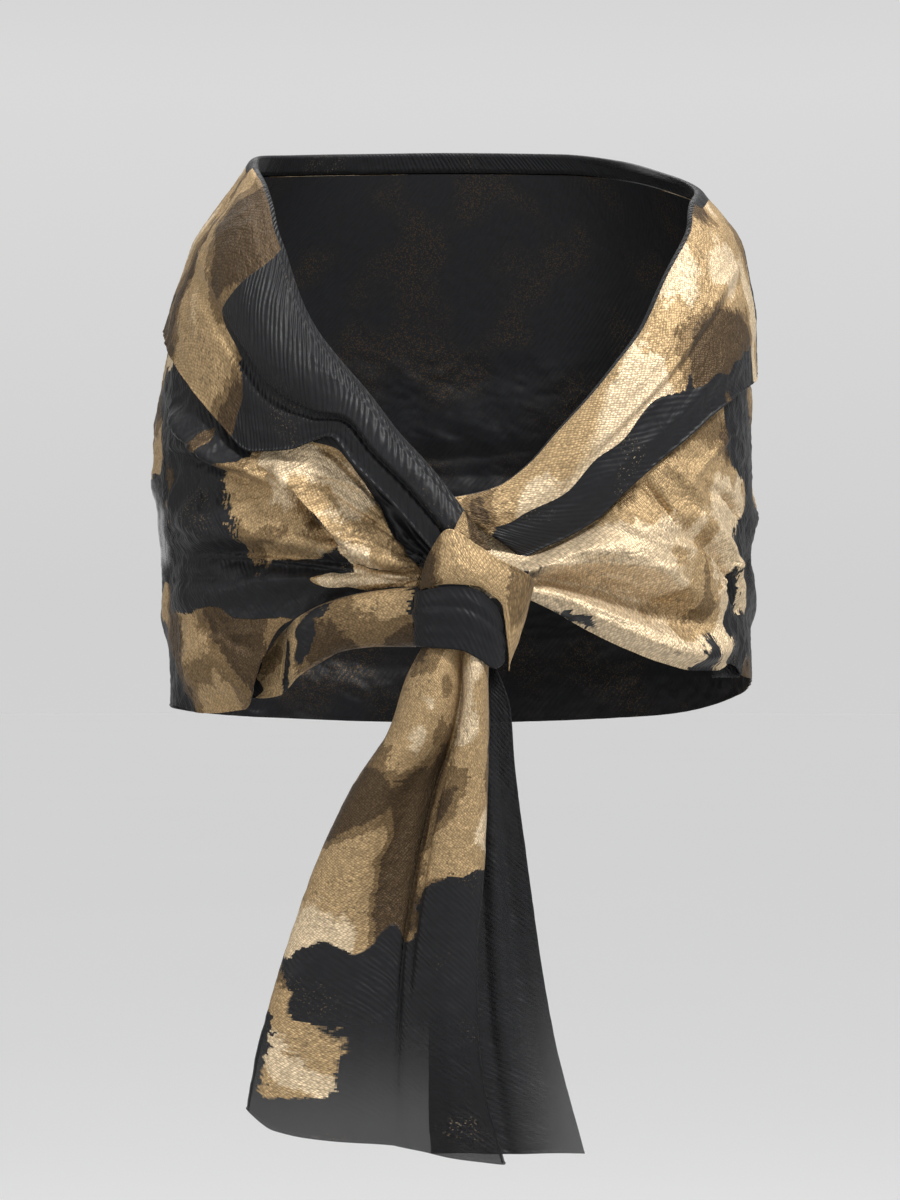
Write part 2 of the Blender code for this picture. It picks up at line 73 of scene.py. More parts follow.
# The figure that wears it: half widths to the right and left, depths to the front and back
FIGURE = table("height right left front back", """
-400 222 240 106 95
-370 220 239 107 95
-324 221 237 110 96
-253 228 237 118 100
-182 232 238 124 106
-110 226 236 122 108
-63 216 232 112 106
-32 203 226 102 103
0 190 220 88 97
20 178 206 75 93
43 163 189 60 88
63 151 172 45 82
90 130 150 30 70
""")

# The neck line: where the cloth turns over, all the way round from the knot to the knot
NECK = table("turn height", """
-184 -228  -177 -183  -172 -157  -167 -129  -162 -106  -156 -78  -149 -39  -143 -7  -133 26
-123 43  -110 55  -99 63  -85 67  -60 71  -30 75  0 77  30 75  50 68  70 55  88 44
100 37  113 28  121 15  131 -14  139 -46  145 -78  150 -100  156 -128  162 -155  167 -180
172 -197  176 -203  181 -207
""")

# The free edge of the turned-down flap, opposite each place on the neck line
FLAP = table("neck_turn turn height stand", """
-184 -178 -251 8  -177 -170 -205 7  -172 -165 -182 6  -167 -160 -160 6  -162 -152 -170 6
-156 -144 -171 5  -149 -136 -150 5  -143 -129 -131 5  -133 -119 -108 5  -123 -110 -91 5
-110 -102 -81 5  -99 -95 -74 5  -85 -85 -70 5  -60 -60 -72 5  -30 -30 -76 5  0 0 -80 5
30 30 -84 5  50 50 -91 5  70 71 -99 5  88 88 -106 5  113 105 -116 5  121 109 -119 5
131 115 -124 5  139 121 -132 5  145 128 -144 5  150 134 -158 5  156 142 -178 5  162 149 -200 5
167 155 -223 5  172 161 -238 5  176 165 -246 5  181 168 -253 5
""")

# The flap: its shares that go up inside and over the turn, its puff, and its long ridges and creases
# as how far down, half width and rise
INNER_SHARE = 0.14
TURN_SHARE = 0.34
FLAP_STAND = 5
FLAP_PUFF = 4
RIGHT_RIDGES = ((0.22, 0.2, 6), (0.5, 0.06, -3.5))
RIGHT_RIDGE_TURNS = (126, 150)
RIGHT_RIDGE_ENDS = (158, 166)
LEFT_RIDGES = ((0.2, 0.16, 3), (0.52, 0.1, -2))
LEFT_RIDGE_TURNS = (96, 136)
BACK_WAVE = 2
BACK_WAVES = 5
BACK_WAVE_ENDS = (70, 96)
CROSSING = 14.5
CROSSING_TURNS = (162, 176)
COLLAR_RIGHT_END = -184
COLLAR_LEFT_END = 181

# The hem round the back and the arms
HEM = table("turn height", """
-150 -345  -137 -369  -120 -372  -104 -367  -80 -371  -40 -379  0 -384  40 -378  80 -356
100 -346  125 -343  150 -330
""")

# Folds: three places along each one, its half widths above and below, and how far it stands out there.
# One that falls in is a crease.
FOLD_COLUMNS = "turn_a height_a turn_b height_b turn_c height_c above below rise_a rise_b rise_c"
BACK_FOLDS = table(FOLD_COLUMNS, """
-92 -140 -30 -176 40 -178 16 9 3 8 4
-96 -186 -10 -226 70 -190 18 10 3 9 4
-70 -262 12 -276 94 -224 20 11 4 9 3
-100 -296 -46 -324 10 -334 16 12 3 7 3
24 -332 62 -312 98 -276 17 11 3 7 3
-60 -206 -44 -240 -30 -280 9 9 -2 -5 -2
30 -210 48 -240 60 -276 9 9 -2 -5 -2
""")
RIGHT_FOLDS = table(FOLD_COLUMNS, """
-114 -134 -133 -172 -150 -196 12 4 4 14 4
-149 -180 -157 -216 -167 -256 12 3.5 6 13 6
-120 -238 -148 -238 -174 -258 18 5 5 13 7
-138 -276 -158 -267 -176 -270 5 8 5 9 4
-106 -196 -118 -212 -136 -220 13 8 3 7 3
-108 -286 -124 -280 -142 -284 10 13 2 6 2
""")
LEFT_FOLDS = table(FOLD_COLUMNS, """
148 -186 143 -206 137 -230 7 4 -3 -7 -3
140 -176 134 -196 128 -214 9 7 3 6 2
138 -236 126 -249 114 -292 6 4 -3 -8 -4
136 -222 124 -234 111 -276 8 6 2 6 3
122 -200 116 -212 110 -222 5 4 -2 -6 -2
158 -208 152 -222 144 -240 6 5 3 5 2
""")

# The soft bag of cloth at the right arm, and how its hem tucks under
BAG_TURN = -128
BAG_HEIGHT = -330
BAG_REACH = 23
BAG_DEPTH = 34
BAG_RISE = 14
BAG_TUCK = 12
BAG_TUCK_FROM = 0.9
BAG_TUCK_TURNS = (105, 125)
BAG_TUCK_ENDS = (134, 144)
BAG_STARTS = (105, 124)

# The rolled hem of the right front, from under the bag to the knot
LIP_GAP = 0.7
LIP_TURNS = (139, 150)
ROLL_TURNS = (-174.45, -135)
ROLL_TOP_SHARE = 0.04
ROLL_SHARE = 0.9
ROLL_FULLNESS = 0.8
ROLL_LEG = 60
ROLL = table("turn top bottom base rise", """
-134 -332 -361 -15 0  -142 -326 -360 -9 1  -146 -312 -358 -8 3  -149 -305 -352 -5 6
-153 -297 -342 2 12  -157 -289 -333 3 15  -162 -282 -323 3 15  -168 -277 -320 3 15
-175 -274 -320 5 19
""")

# The swoop of the left front: its upper rim, hollow, lower rim and hem
SWOOP = table("turn rim hollow lower hem rim_rise hollow_rise lower_rise", """
105 -266 -300 -322 -340 0 0 0  116 -275 -299 -318 -334 4 3 6  123 -283 -301 -324 -339 8 4 13
131 -281 -300 -328 -339 13 2 19  140 -265 -291 -323 -333 19 -2 22
149 -250 -277 -311 -321 25 -4 23  156 -246 -268 -298 -308 25 -1 22
162 -251 -268 -284 -294 22 5 20  168 -264 -271 -277 -283 16 9 14
""")

SWOOP_START = 7
SWOOP_HEM = (105, 116)
SWOOP_TURNS_IN = 0.85

# The plain layer that shows under the swoop
PLY_TURNS = (108, 121)
PLY_HEIGHTS = (-296, -345)
PLY_LIFT = -1.9
PLY_DROP = 4

# The knot: its axis stands just in front of the figure
KNOT_X = 7
KNOT_Y = -150
BAND = table("around top bottom width depth", """
-180 -282 -320 35 21  -90 -280 -319 35 23  -51 -277 -320 36 24  0 -273 -322 36 24
25 -277 -329 36 24  50 -287 -336 36 24  71 -296 -333 36 23  90 -304 -323 36 23
130 -292 -320 35 22  180 -282 -320 35 21
""")
WRAP = table("around top bottom width waist depth chin lean", """
-100 -270 -278 28 29 22 22 5  -70 -262 -277 29 31 26 22.5 7  -45 -249 -275 32 34 29 23 9
-12 -231 -272.5 36 36 31 24 10  20 -243.5 -274 43 38 31 24.5 10  40 -254 -281 49 38.5 30 25 9
58 -261 -289 54 38.8 28 26 7  72 -266 -318 57 39 27 26.5 4  92 -272 -338 58 38 26 26.5 2
""")

# How the gold cloth goes over the knot, how thick the band's edge is, and the small point
WRAP_AROUND = (92, -100)
NARROWS = (-0.15, 0.85)
CHIN = (0.35, 1)
BAND_EDGE = 1.2
TIP_BLUNT = 0.08
TIP_BULGE = 2
TIP_BASE = (31, -5)
TIP_X = 11
TIP_HEIGHTS = (-218, -247)
TIP_Y = -169.4
TIP_SLANT = 0.15

# The front tail: edges and the fold between its two tubes, across and in depth, at each height
TAIL = table("height left valley right front tube_left tube_right", """
-317 -19.4 9 30.2 -167.1 13.4 12.4  -345 -34 9 29 -171 21 18  -380 -45 4 30 -171 24 20
-430 -76 -12 29 -167 25 20  -490 -103 -25 26 -164 22 19  -545 -121 -34 21 -162 18 18
-600 -136 -38 22 -162 14 16  -650 -147 -40 28 -162 11 13  -698 -154 -42 42 -163 9 11
""")
TAIL_HEM = table("across height", """
-156 -667  -132 -684  -92 -692  -42 -696  0 -704  48 -711
""")
TAIL_TOP = -317
TAIL_FOOT = -698
FIRST_TUBE = 0.55
TUBE_START = 0.04
TUBE_TURN = 0.9
TUBE_CURL = 0.12
TUBE_BACK = 0.25
RECESS = 0.85
RECESS_FROM = (0.38, 0.68)
BOXY = 0.35
TUBES_PART = (0.1, 0.3)

# The second end, hanging behind it
END_HEIGHTS = (-312, -704)
END_RIPPLE = 3
INSIDE_BAND = 16.9
INSIDE_BAND_WIDTH = 28.5
END = table("height left right back", """
-312 -8 22 -131  -328 2 31 -133  -367 0 46 -136  -407 -4 49 -135  -486 -10 59 -134
-565 -14 70 -134  -620 -16 80 -135  -671 -16 93 -137  -704 -14 102 -139
""")

# Finer folds, in the same columns as the main ones: crisp pleats, creases and gathers
FINE_FOLDS = table(FOLD_COLUMNS, """
-149 -180 -157 -216 -167 -256 7 1.6 2 3.5 2
-114 -134 -133 -172 -150 -196 6 2 1 3 1
-118 -164 -131 -174 -146 -189 5 2.5 2 3.5 2
-129 -247 -152 -252 -175 -267 3 2.5 -2 -3.5 -2
-156 -257 -166 -262 -176 -271 3.5 2 1.5 3 2
-116 -296 -129 -305 -144 -326 5 3 -1 -3 -1.5
-121 -334 -131 -318 -141 -309 6 3 1 3 1.5
-108 -230 -121 -226 -134 -238 6 3 1 3 1
-112 -268 -126 -262 -140 -268 6 3 1 3 1.5
-158 -196 -165 -216 -172 -238 3.5 2 1 3 2
-154 -186 -163 -196 -171 -214 3 2 1 2.5 1.5
-152 -232 -162 -240 -173 -254 3 2 -1 -2.5 -1.5
145 -190 141 -208 138 -227 4 2 -1.5 -3.2 -1.5
120 -205 115 -211 111 -217 4 2 -1 -2.5 -1
135 -238 126 -261 115 -294 4 2 -1.5 -3.5 -2
154 -254 146 -261 136 -278 5 4 1 2.5 1
166 -257 157 -263 146 -273 3 2 1 2.4 1
166 -266 157 -279 147 -294 3 2 -1 -2.4 -1
165 -272 155 -292 144 -308 4 3 1 2.2 1
156 -206 148 -224 139 -244 4 2.5 1 2.6 1
132 -186 124 -196 116 -202 4 2.5 1 2.4 1
112 -150 124 -170 136 -200 5 3 1 2.4 1
108 -246 118 -262 128 -292 5 3 1 2.4 1
169 -267 159 -272 147 -284 4 8 -3.5 -7 -3
170 -261 160 -257 147 -260 2.5 3.5 1.6 4 2
-60 -150 -20 -170 30 -150 7 4 1 3 1
-80 -230 -30 -262 20 -240 7 4 1 3 1
10 -250 50 -262 90 -220 7 4 1 3 1
-96 -150 -80 -178 -64 -214 6 3 1 3 1
60 -160 80 -190 96 -232 6 3 1 3 1
-20 -300 20 -306 60 -296 7 4 1 2.5 1
-152 -163 -164 -192 -173 -250 6 1.5 -2 -5 -3
-149 -186 -157 -222 -166 -259 1.5 6 -2 -4 -2
-116 -170 -131 -180 -147 -197 1.5 5 -2 -3.5 -1.5
-131 -252 -150 -257 -172 -270 1.2 4 -2 -3.5 -2
""")

# On the right front: the lines above and below its leaf-shaped pleat, and the crease to the knot
LEAF_LOWER = table("turn height", """
-164 -262  -162 -249  -160 -231  -157 -213  -152 -197  -146 -180  -141 -168
""")
LEAF_UPPER = table("turn height", """
-176 -262  -174 -255  -170 -231  -166 -201  -160 -169  -152 -162  -138 -150
""")
FRONT_CREASE = table("turn height", """
-176 -269  -168 -260  -161 -254  -150 -251  -139 -251  -129 -247  -112 -240
""")


def between(rows, key, column, at):
    """A column of a table, read between its rows on a smooth curve that does not overshoot."""
    places = rows[key]
    values = rows[column]
    step = np.diff(places)
    slope = np.diff(values) / step
    product = slope[:-1] * slope[1:]
    total = np.where(product > 0, slope[:-1] + slope[1:], 1)
    tangent = np.concatenate(([slope[0]], np.where(product > 0, 2 * product / total, 0), [slope[-1]]))
    row = np.clip(np.searchsorted(places, at, side="right") - 1, 0, len(places) - 2)
    t = np.clip((at - places[row]) / step[row], 0, 1)
    start = values[row] * (2 * t**3 - 3 * t**2 + 1) + tangent[row] * step[row] * (t**3 - 2 * t**2 + t)
    return start + values[row + 1] * (3 * t**2 - 2 * t**3) + tangent[row + 1] * step[row] * (t**3 - t**2)


def several(rows, key, columns, at):
    """Some columns of a table, all read at the same places."""
    return [between(rows, key, column, at) for column in columns.split()]


def ease(value, low, high):
    """0 up to low, 1 from high on, and a soft step between them."""
    t = np.clip((value - low) / (high - low), 0, 1)
    return t * t * (3 - 2 * t)


def mix(first, last, share):
    """That share of the way from the first value to the last."""
    return first + (last - first) * share


def bump(distance, width):
    """A soft ridge of height 1, width being its half width at about half its height."""
    return np.exp(-0.7 * (distance / width) ** 2)


def in_metres(x, y, height):
    return np.stack(np.broadcast_arrays(x, y, height), axis=-1) * MM


def sheet_point(turn, height, lift):
    """Points on the figure at a turn, height and lift, in metres."""
    side = np.sin(np.radians(turn))
    along = np.cos(np.radians(turn))
    right, left, front, back = several(FIGURE, "height", "right left front back", height)
    from_knot = np.abs(np.abs(turn) - 180)
    rise = KNOT_RISE * bump(from_knot, KNOT_RISE_TURN) * bump(height - KNOT_HEIGHT, KNOT_RISE_HEIGHT)
    across = (left + right) / 2 + (left - right) / 2 * side + lift
    deep = (back + front) / 2 + (back - front) / 2 * along + lift + rise
    x = across * side * (1 + SQUARENESS * along**2)
    y = deep * along * (1 + SQUARENESS * side**2)
    return in_metres(x, y, height)


def folds(rows, turn, height):
    """How far a set of folds lifts the cloth, each on a curve through its three places."""
    lift = np.zeros(np.broadcast(turn, height).shape)
    for a, high_a, b, high_b, c, high_c, above, below, rise_a, rise_b, rise_c in zip(*rows.values()):
        at = np.clip(turn, min(a, c), max(a, c))
        part_a = (at - b) * (at - c) / ((a - b) * (a - c))
        part_b = (at - a) * (at - c) / ((b - a) * (b - c))
        part_c = (at - a) * (at - b) / ((c - a) * (c - b))
        middle = high_a * part_a + high_b * part_b + high_c * part_c
        rise = rise_a * part_a + rise_b * part_b + rise_c * part_c
        distance = height - middle
        width = np.where(distance > 0, above, below)
        lift += rise * bump(distance, width) * bump(turn - at, FOLD_END)
    return lift


def height_on(rows, turn):
    """The height of a table's line at a turn."""
    return between(rows, "turn", "height", turn)


def down_the_sheet(turn, v, hem):
    """Height at a share of the way down, where the first rows lie hidden under the flap."""
    top = height_on(NECK, turn) - INNER_LEG - SEAM
    edge = height_on(FLAP, turn)
    hidden = mix(edge, top, 1 - v / UNDER_FLAP)
    return np.where(v < UNDER_FLAP, hidden, edge + (hem - edge) * (v - UNDER_FLAP) / (1 - UNDER_FLAP))


def past_flap(turn, height):
    """0 under the flap, 1 from a little below its edge."""
    return ease(height_on(FLAP, turn) - height, *FLAP_SHADOW)


def collar(neck, v):
    """The turned-down top: up inside the neck line, over it, and down outside."""
    neck_height = height_on(NECK, neck)
    turn, height, stand = several(FLAP, "neck_turn", "turn height stand", neck)
    up = np.clip(v / INNER_SHARE, 0, 1)
    over = np.clip((v - INNER_SHARE) / (TURN_SHARE - INNER_SHARE), 0, 1) * math.pi
    down = np.clip((v - TURN_SHARE) / (1 - TURN_SHARE), 0, 1)
    middle = neck_height - FOLD_RADIUS
    leg_height = neck_height - INNER_LEG + (INNER_LEG - FOLD_RADIUS) * up
    at_turn = np.where(v < TURN_SHARE, neck, mix(neck, turn, down))
    out_height = mix(middle, height, down)
    over_height = np.where(v < TURN_SHARE, middle + FOLD_RADIUS * np.sin(over), out_height)
    at_height = np.where(v < INNER_SHARE, leg_height, over_height)
    puff = stand - FLAP_STAND + FLAP_PUFF * np.sin(math.pi * down) ** 2
    on_right = ease(-neck, *RIGHT_RIDGE_TURNS) * (1 - ease(-neck, *RIGHT_RIDGE_ENDS))
    on_left = ease(neck, *LEFT_RIDGE_TURNS)
    on_back = 1 - ease(np.abs(neck), *BACK_WAVE_ENDS)
    for on_side, ridges in ((on_right, RIGHT_RIDGES), (on_left, LEFT_RIDGES)):
        for share, width, rise in ridges:
            puff += on_side * rise * bump(down - share, width)
    puff += on_back * BACK_WAVE * np.sin(np.radians(neck * BACK_WAVES)) * down
    side = FOLD_RADIUS * (1 - np.cos(over)) - WALL
    lift = np.where(v < TURN_SHARE, side, 2 * FOLD_RADIUS - WALL + puff)
    return sheet_point(at_turn, at_height, lift + crossing(neck))


def crossing(neck):
    """Where the two collars cross in front, the right one lies over the left one."""
    return CROSSING * ease(-neck, *CROSSING_TURNS)


def roll_right(u, v):
    turn = mix(*ROLL_TURNS, u)
    top, bottom, base, rise = several(ROLL, "turn", "top bottom base rise", turn)
    over = np.maximum(v, 0)
    height = mix(top, bottom, (1 - np.cos(math.pi * over)) / 2)
    lift = base + rise * np.sin(math.pi * (ROLL_TOP_SHARE + ROLL_SHARE * over)) ** ROLL_FULLNESS
    return sheet_point(turn, height, lift + ROLL_LEG * np.minimum(v, 0))


def under_left(u, v):
    lift = PLY_LIFT - PLY_DROP * ease(u, 0, 0.5)
    return sheet_point(mix(*PLY_TURNS, u), mix(*PLY_HEIGHTS, v), lift)


def round_knot(around, width, depth, height, lean):
    x = KNOT_X + width * np.sin(np.radians(around))
    y = KNOT_Y - depth * np.cos(np.radians(around)) + lean
    return in_metres(x, y, height)


def knot_wrap(u, v):
    around = mix(*WRAP_AROUND, u)
    columns = "top bottom width waist depth chin lean"
    top, bottom, width, waist, depth, chin, lean = several(WRAP, "around", columns, around)
    height = mix(top, bottom, np.sin(v * math.pi / 2))
    width = mix(width, waist, ease(v, *NARROWS))
    depth = mix(depth, chin, ease(v, *CHIN))
    return round_knot(around, width, depth, height, lean * (1 - v) ** 2)


def knot_tip(u, v):
    x = mix(TIP_X, mix(*TIP_BASE, u), mix(TIP_BLUNT, 1, v))
    y = TIP_Y + TIP_SLANT * x - TIP_BULGE * np.sin(math.pi * u) * v
    return in_metres(x, y, mix(*TIP_HEIGHTS, v))


def tube_fold(part, low, high, depth):
    """Across and out along a tube fold seen from its end; part 0 to 1 goes round its front."""
    angle = math.pi * part
    seen = np.clip(angle, -TUBE_BACK, math.pi + TUBE_BACK)
    middle = (low + high) / 2
    return middle - (high - low) / 2 * np.cos(angle), -depth * np.sin(seen)


def tail_front(u, v):
    height = mix(TAIL_TOP, TAIL_FOOT, v)
    columns = "left valley right front tube_left tube_right"
    left, valley, right, front, tube_left, tube_right = several(TAIL, "height", columns, height)
    across = 1 - u
    share_left = across / FIRST_TUBE
    share_right = (across - FIRST_TUBE) / (1 - FIRST_TUBE)
    part_left = TUBE_START - TUBE_CURL + (TUBE_TURN + TUBE_CURL) * share_left
    part_right = 1 - TUBE_TURN - TUBE_START + (TUBE_TURN + TUBE_START + TUBE_CURL) * share_right
    x_left, y_left = tube_fold(part_left, left, valley, tube_left)
    x_right, y_right = tube_fold(part_right, valley, right, tube_right)
    x = np.where(share_left < 1, x_left, x_right)
    parted = ease(v, *TUBES_PART)
    y_left *= 1 - RECESS * ease(part_left, *RECESS_FROM) * parted
    fuller = np.maximum(-y_right / tube_right, 0.02) ** (-BOXY * parted)
    y_right *= np.where(y_right < 0, fuller, 1)
    y = front + np.where(share_left < 1, tube_left + y_left, tube_right + y_right)
    return in_metres(x, y, mix(TAIL_TOP, between(TAIL_HEM, "across", "height", x), v))


def tail_back(u, v):
    height = mix(*END_HEIGHTS, v)
    left, right, back = several(END, "height", "left right back", height)
    x = mix(right, left, u)
    from_axis = np.clip((x - KNOT_X) / INSIDE_BAND_WIDTH, -0.95, 0.95)
    against_band = KNOT_Y + INSIDE_BAND * np.sqrt(1 - from_axis**2)
    y = back + END_RIPPLE * np.sin(3 * math.pi * u) * ease(v, 0.1, 0.6)
    return in_metres(x, mix(against_band, y, ease(v, 0.02, 0.1)), height)


def band_ring(u, v):
    around = 180 - 360 * u
    top, bottom, width, depth = several(BAND, "around", "top bottom width depth", around)
    edge_in = BAND_EDGE * (1 - np.sin(math.pi * v))
    return round_knot(around, width - edge_in, depth - edge_in, mix(top, bottom, v), 0)


# The cloth as it shows: its thickness, and the height and radius of the bead along its rolled hem
CLOTH = 0.9
BEAD = 0.55
BEAD_RADIUS = 0.9
AT_EDGE = 0.05
EDGE_DIP = -0.25

# Millimetres along the cloth for each degree round the figure
MM_PER_TURN = 4.07


def hashed(column, row, seed):
    """A fixed number from 0 to 1 for each whole place."""
    mixed = (column * 374761393 + row * 668265263 + seed * 144665) & 0xFFFFFFFF
    mixed = ((mixed ^ (mixed >> 13)) * 1274126177) & 0xFFFFFFFF
    return ((mixed ^ (mixed >> 16)) & 0xFFFFFF) / float(0xFFFFFF)


def noise(x, y, seed):
    """Smooth noise from about -1 to 1, one bump for each whole step of x and y."""
    x, y = np.broadcast_arrays(np.asarray(x, float), np.asarray(y, float))
    column, row = np.floor(x).astype(np.int64), np.floor(y).astype(np.int64)
    part_x, part_y = x - column, y - row
    total = np.zeros(x.shape)
    for step_x in (0, 1):
        for step_y in (0, 1):
            angle = 2 * math.pi * hashed(column + step_x, row + step_y, seed)
            weight = ease(1 - np.abs(part_x - step_x), 0, 1) * ease(1 - np.abs(part_y - step_y), 0, 1)
            total += weight * (np.cos(angle) * (part_x - step_x) + np.sin(angle) * (part_y - step_y))
    return 1.5 * total


def crumple(x, y, size, seed):
    """Crushed cloth: soft facets between creases, from about -1 to 1."""
    bent_x = x / size + 0.5 * noise(x / size / 1.9, y / size / 1.9, seed + 1)
    bent_y = y / size + 0.5 * noise(x / size / 1.9, y / size / 1.9, seed + 2)
    ridge = np.sqrt(noise(bent_x, bent_y, seed) ** 2 + 0.006)
    return 1 - 2.6 * ridge


def drag(across, along, seed):
    """Long folds that run along: soft ridges with narrower troughs, uneven."""
    bent = across + 0.35 * noise(across * 0.6, along * 1.3, seed + 3)
    first = noise(bent, along, seed)
    second = noise(bent * 2.3, along * 1.7, seed + 5)
    return (np.sqrt(first**2 + 0.01) - 0.3) * 1.6 + 0.35 * second


def gathers(turn, height, apex, count, reach, seed):
    """Folds that fan out from the knot: round, with sharp troughs, softer further off."""
    x = np.abs(turn - apex[0]) * MM_PER_TURN
    y = height - apex[1]
    far = np.hypot(x, y)
    angle = np.arctan2(y, x)
    bent = angle * count + 0.4 * noise(far / 35, angle * 1.5, seed + 1)
    ridge = np.sqrt(noise(bent, far / 120, seed) ** 2 + 0.004)
    return (1.9 * ridge - 0.5) * ease(far, 3, 20) * (1 - ease(far, 0.35 * reach, reach))


def facing(points, closed=False):
    """The outward direction at each point of a grid."""
    if closed:
        points = np.concatenate([points[:, -2:-1], points, points[:, 1:2]], axis=1)
    normal = np.cross(np.gradient(points, axis=1), np.gradient(points, axis=0))
    normal /= np.linalg.norm(normal, axis=-1, keepdims=True) + 1e-12
    return normal[:, 1:-1] if closed else normal


def shell(name, points, detail, place, tones, looks, beads=(0, 0, 0, 1), closed=False,
          keep=slice(None), ribbed=0.3):
    """A thin closed shell of cloth: the grid of points, moved out by its detail, and a layer behind it.

    Tones are how gilt, sheer and pale it is, and ribbed is how strongly its ribs show. Beads say how
    strongly the rolled hem shows at the first and last column, and the first and last row. Only the
    columns to keep become cloth; the others give it the right facing at a seam.
    """
    outer = points + facing(points, closed) * detail[..., None] * MM
    out = facing(outer, closed)[:, keep]
    outer = outer[:, keep]
    rows, columns = outer.shape[:2]
    hem = np.zeros((rows, columns))
    from_top, from_left = (
        np.cumsum(np.linalg.norm(np.diff(outer, axis=axis, prepend=first), axis=-1) / MM, axis=axis)
        for axis, first in ((0, outer[:1]), (1, outer[:, :1]))
    )
    distances = (from_left, from_left[:, -1:] - from_left, from_top, from_top[-1:] - from_top)
    for distance, strength in zip(distances, beads):
        round_edge = np.sqrt(np.clip(1 - ((distance - BEAD_RADIUS) / BEAD_RADIUS) ** 2, 0, 1))
        hem = np.maximum(hem, strength * np.where(distance < 2 * BEAD_RADIUS, round_edge, 0) * BEAD)
        hem = np.where((distance < AT_EDGE) & (strength > 0), EDGE_DIP, hem)
    top = outer + out * hem[..., None] * MM
    under = outer - out * (CLOTH + hem[..., None]) * MM
    across = columns - 1 if closed else columns
    top, under, out = top[:, :across], under[:, :across], out[:, :across]
    vertices = np.stack([top, under]).reshape(-1, 3)
    index = np.arange(rows * across).reshape(rows, across)
    if closed:
        index = np.concatenate([index, index[:, :1]], axis=1)
    behind = index + rows * across
    quads = [
        np.stack([layer[corner] for corner in corners], axis=-1).reshape(-1, 4)
        for layer, corners in ((index, TURN_OUT), (behind, TURN_IN))
    ]
    edges = [(index[0], behind[0], False), (index[-1], behind[-1], True)]
    if not closed:
        edges += [(index[:, 0], behind[:, 0], True), (index[:, -1], behind[:, -1], False)]
    for front, back, flip in edges:
        ring = np.stack([front[:-1], back[:-1], back[1:], front[1:]], axis=-1)
        quads.append(ring[:, ::-1] if flip else ring)
    faces = np.concatenate(quads)
    layer = (rows - 1) * (index.shape[1] - 1)
    slots = np.zeros(len(faces), np.int32)
    slots[layer:2 * layer] = 1
    mesh = bpy.data.meshes.new(name)
    mesh.from_pydata(vertices.tolist(), [], faces.tolist())
    mesh.polygons.foreach_set("material_index", slots)
    for look in looks:
        mesh.materials.append(look)
    mesh.shade_smooth()
    if keep != slice(None):
        mesh.normals_split_custom_set_from_vertices(np.stack([out, -out]).reshape(-1, 3))

    def on_both_sides(values):
        values = np.broadcast_to(values, points.shape[:2])[:, keep][:, :across].reshape(-1)
        return np.tile(values, 2).astype(np.float32)

    for title, values in zip(("gilt", "sheer", "pale", "ribbed"), (*tones, ribbed)):
        mesh.attributes.new(title, "FLOAT", "POINT").data.foreach_set("value", on_both_sides(values))
    spots = np.stack([on_both_sides(values) for values in (place[0] * MM, place[1] * MM, 0)], axis=-1)
    mesh.attributes.new("cloth", "FLOAT_VECTOR", "POINT").data.foreach_set("vector", spots.reshape(-1))
    piece = bpy.data.objects.new(name, mesh)
    scene.collection.objects.link(piece)
    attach(piece, "root")
    return piece


# The corners of each face of a grid, in the order for a layer that faces out or in
FIRST, LAST = slice(None, -1), slice(1, None)
TURN_OUT = ((FIRST, FIRST), (FIRST, LAST), (LAST, LAST), (LAST, FIRST))
TURN_IN = ((FIRST, FIRST), (LAST, FIRST), (LAST, LAST), (FIRST, LAST))


def spans(*parts):
    """Evenly spaced places: a value, a number of steps, the next value, and so on."""
    places = [parts[:1]]
    for start, steps, end in zip(parts[:-2:2], parts[1::2], parts[2::2]):
        places.append(np.linspace(start, end, steps + 1)[1:])
    return np.concatenate(places)


# The colours of the yarns
CHAMPAGNE = (0.44, 0.305, 0.158, 1)
PALE_GOLD = (0.7, 0.55, 0.36, 1)
OLD_GOLD = (0.215, 0.142, 0.07, 1)
BRONZE = (0.088, 0.057, 0.03, 1)
BLACK = (0.006, 0.0062, 0.0072, 1)
SOFT_BLACK = (0.015, 0.0152, 0.017, 1)

# The slant of the black cloth's ribs in radians, the relief's depth in metres, and how many
# flecks, patches and tones there are in each metre
RIB_ANGLE = 0.68
RELIEF_DEPTH = 0.0015
FLECKS = 1500
PATCHES = 9
TONES = 10
GOLD_METALLIC = 0.52
GOLD_ROUGHNESS = 0.54
BLACK_ROUGHNESS = 0.47


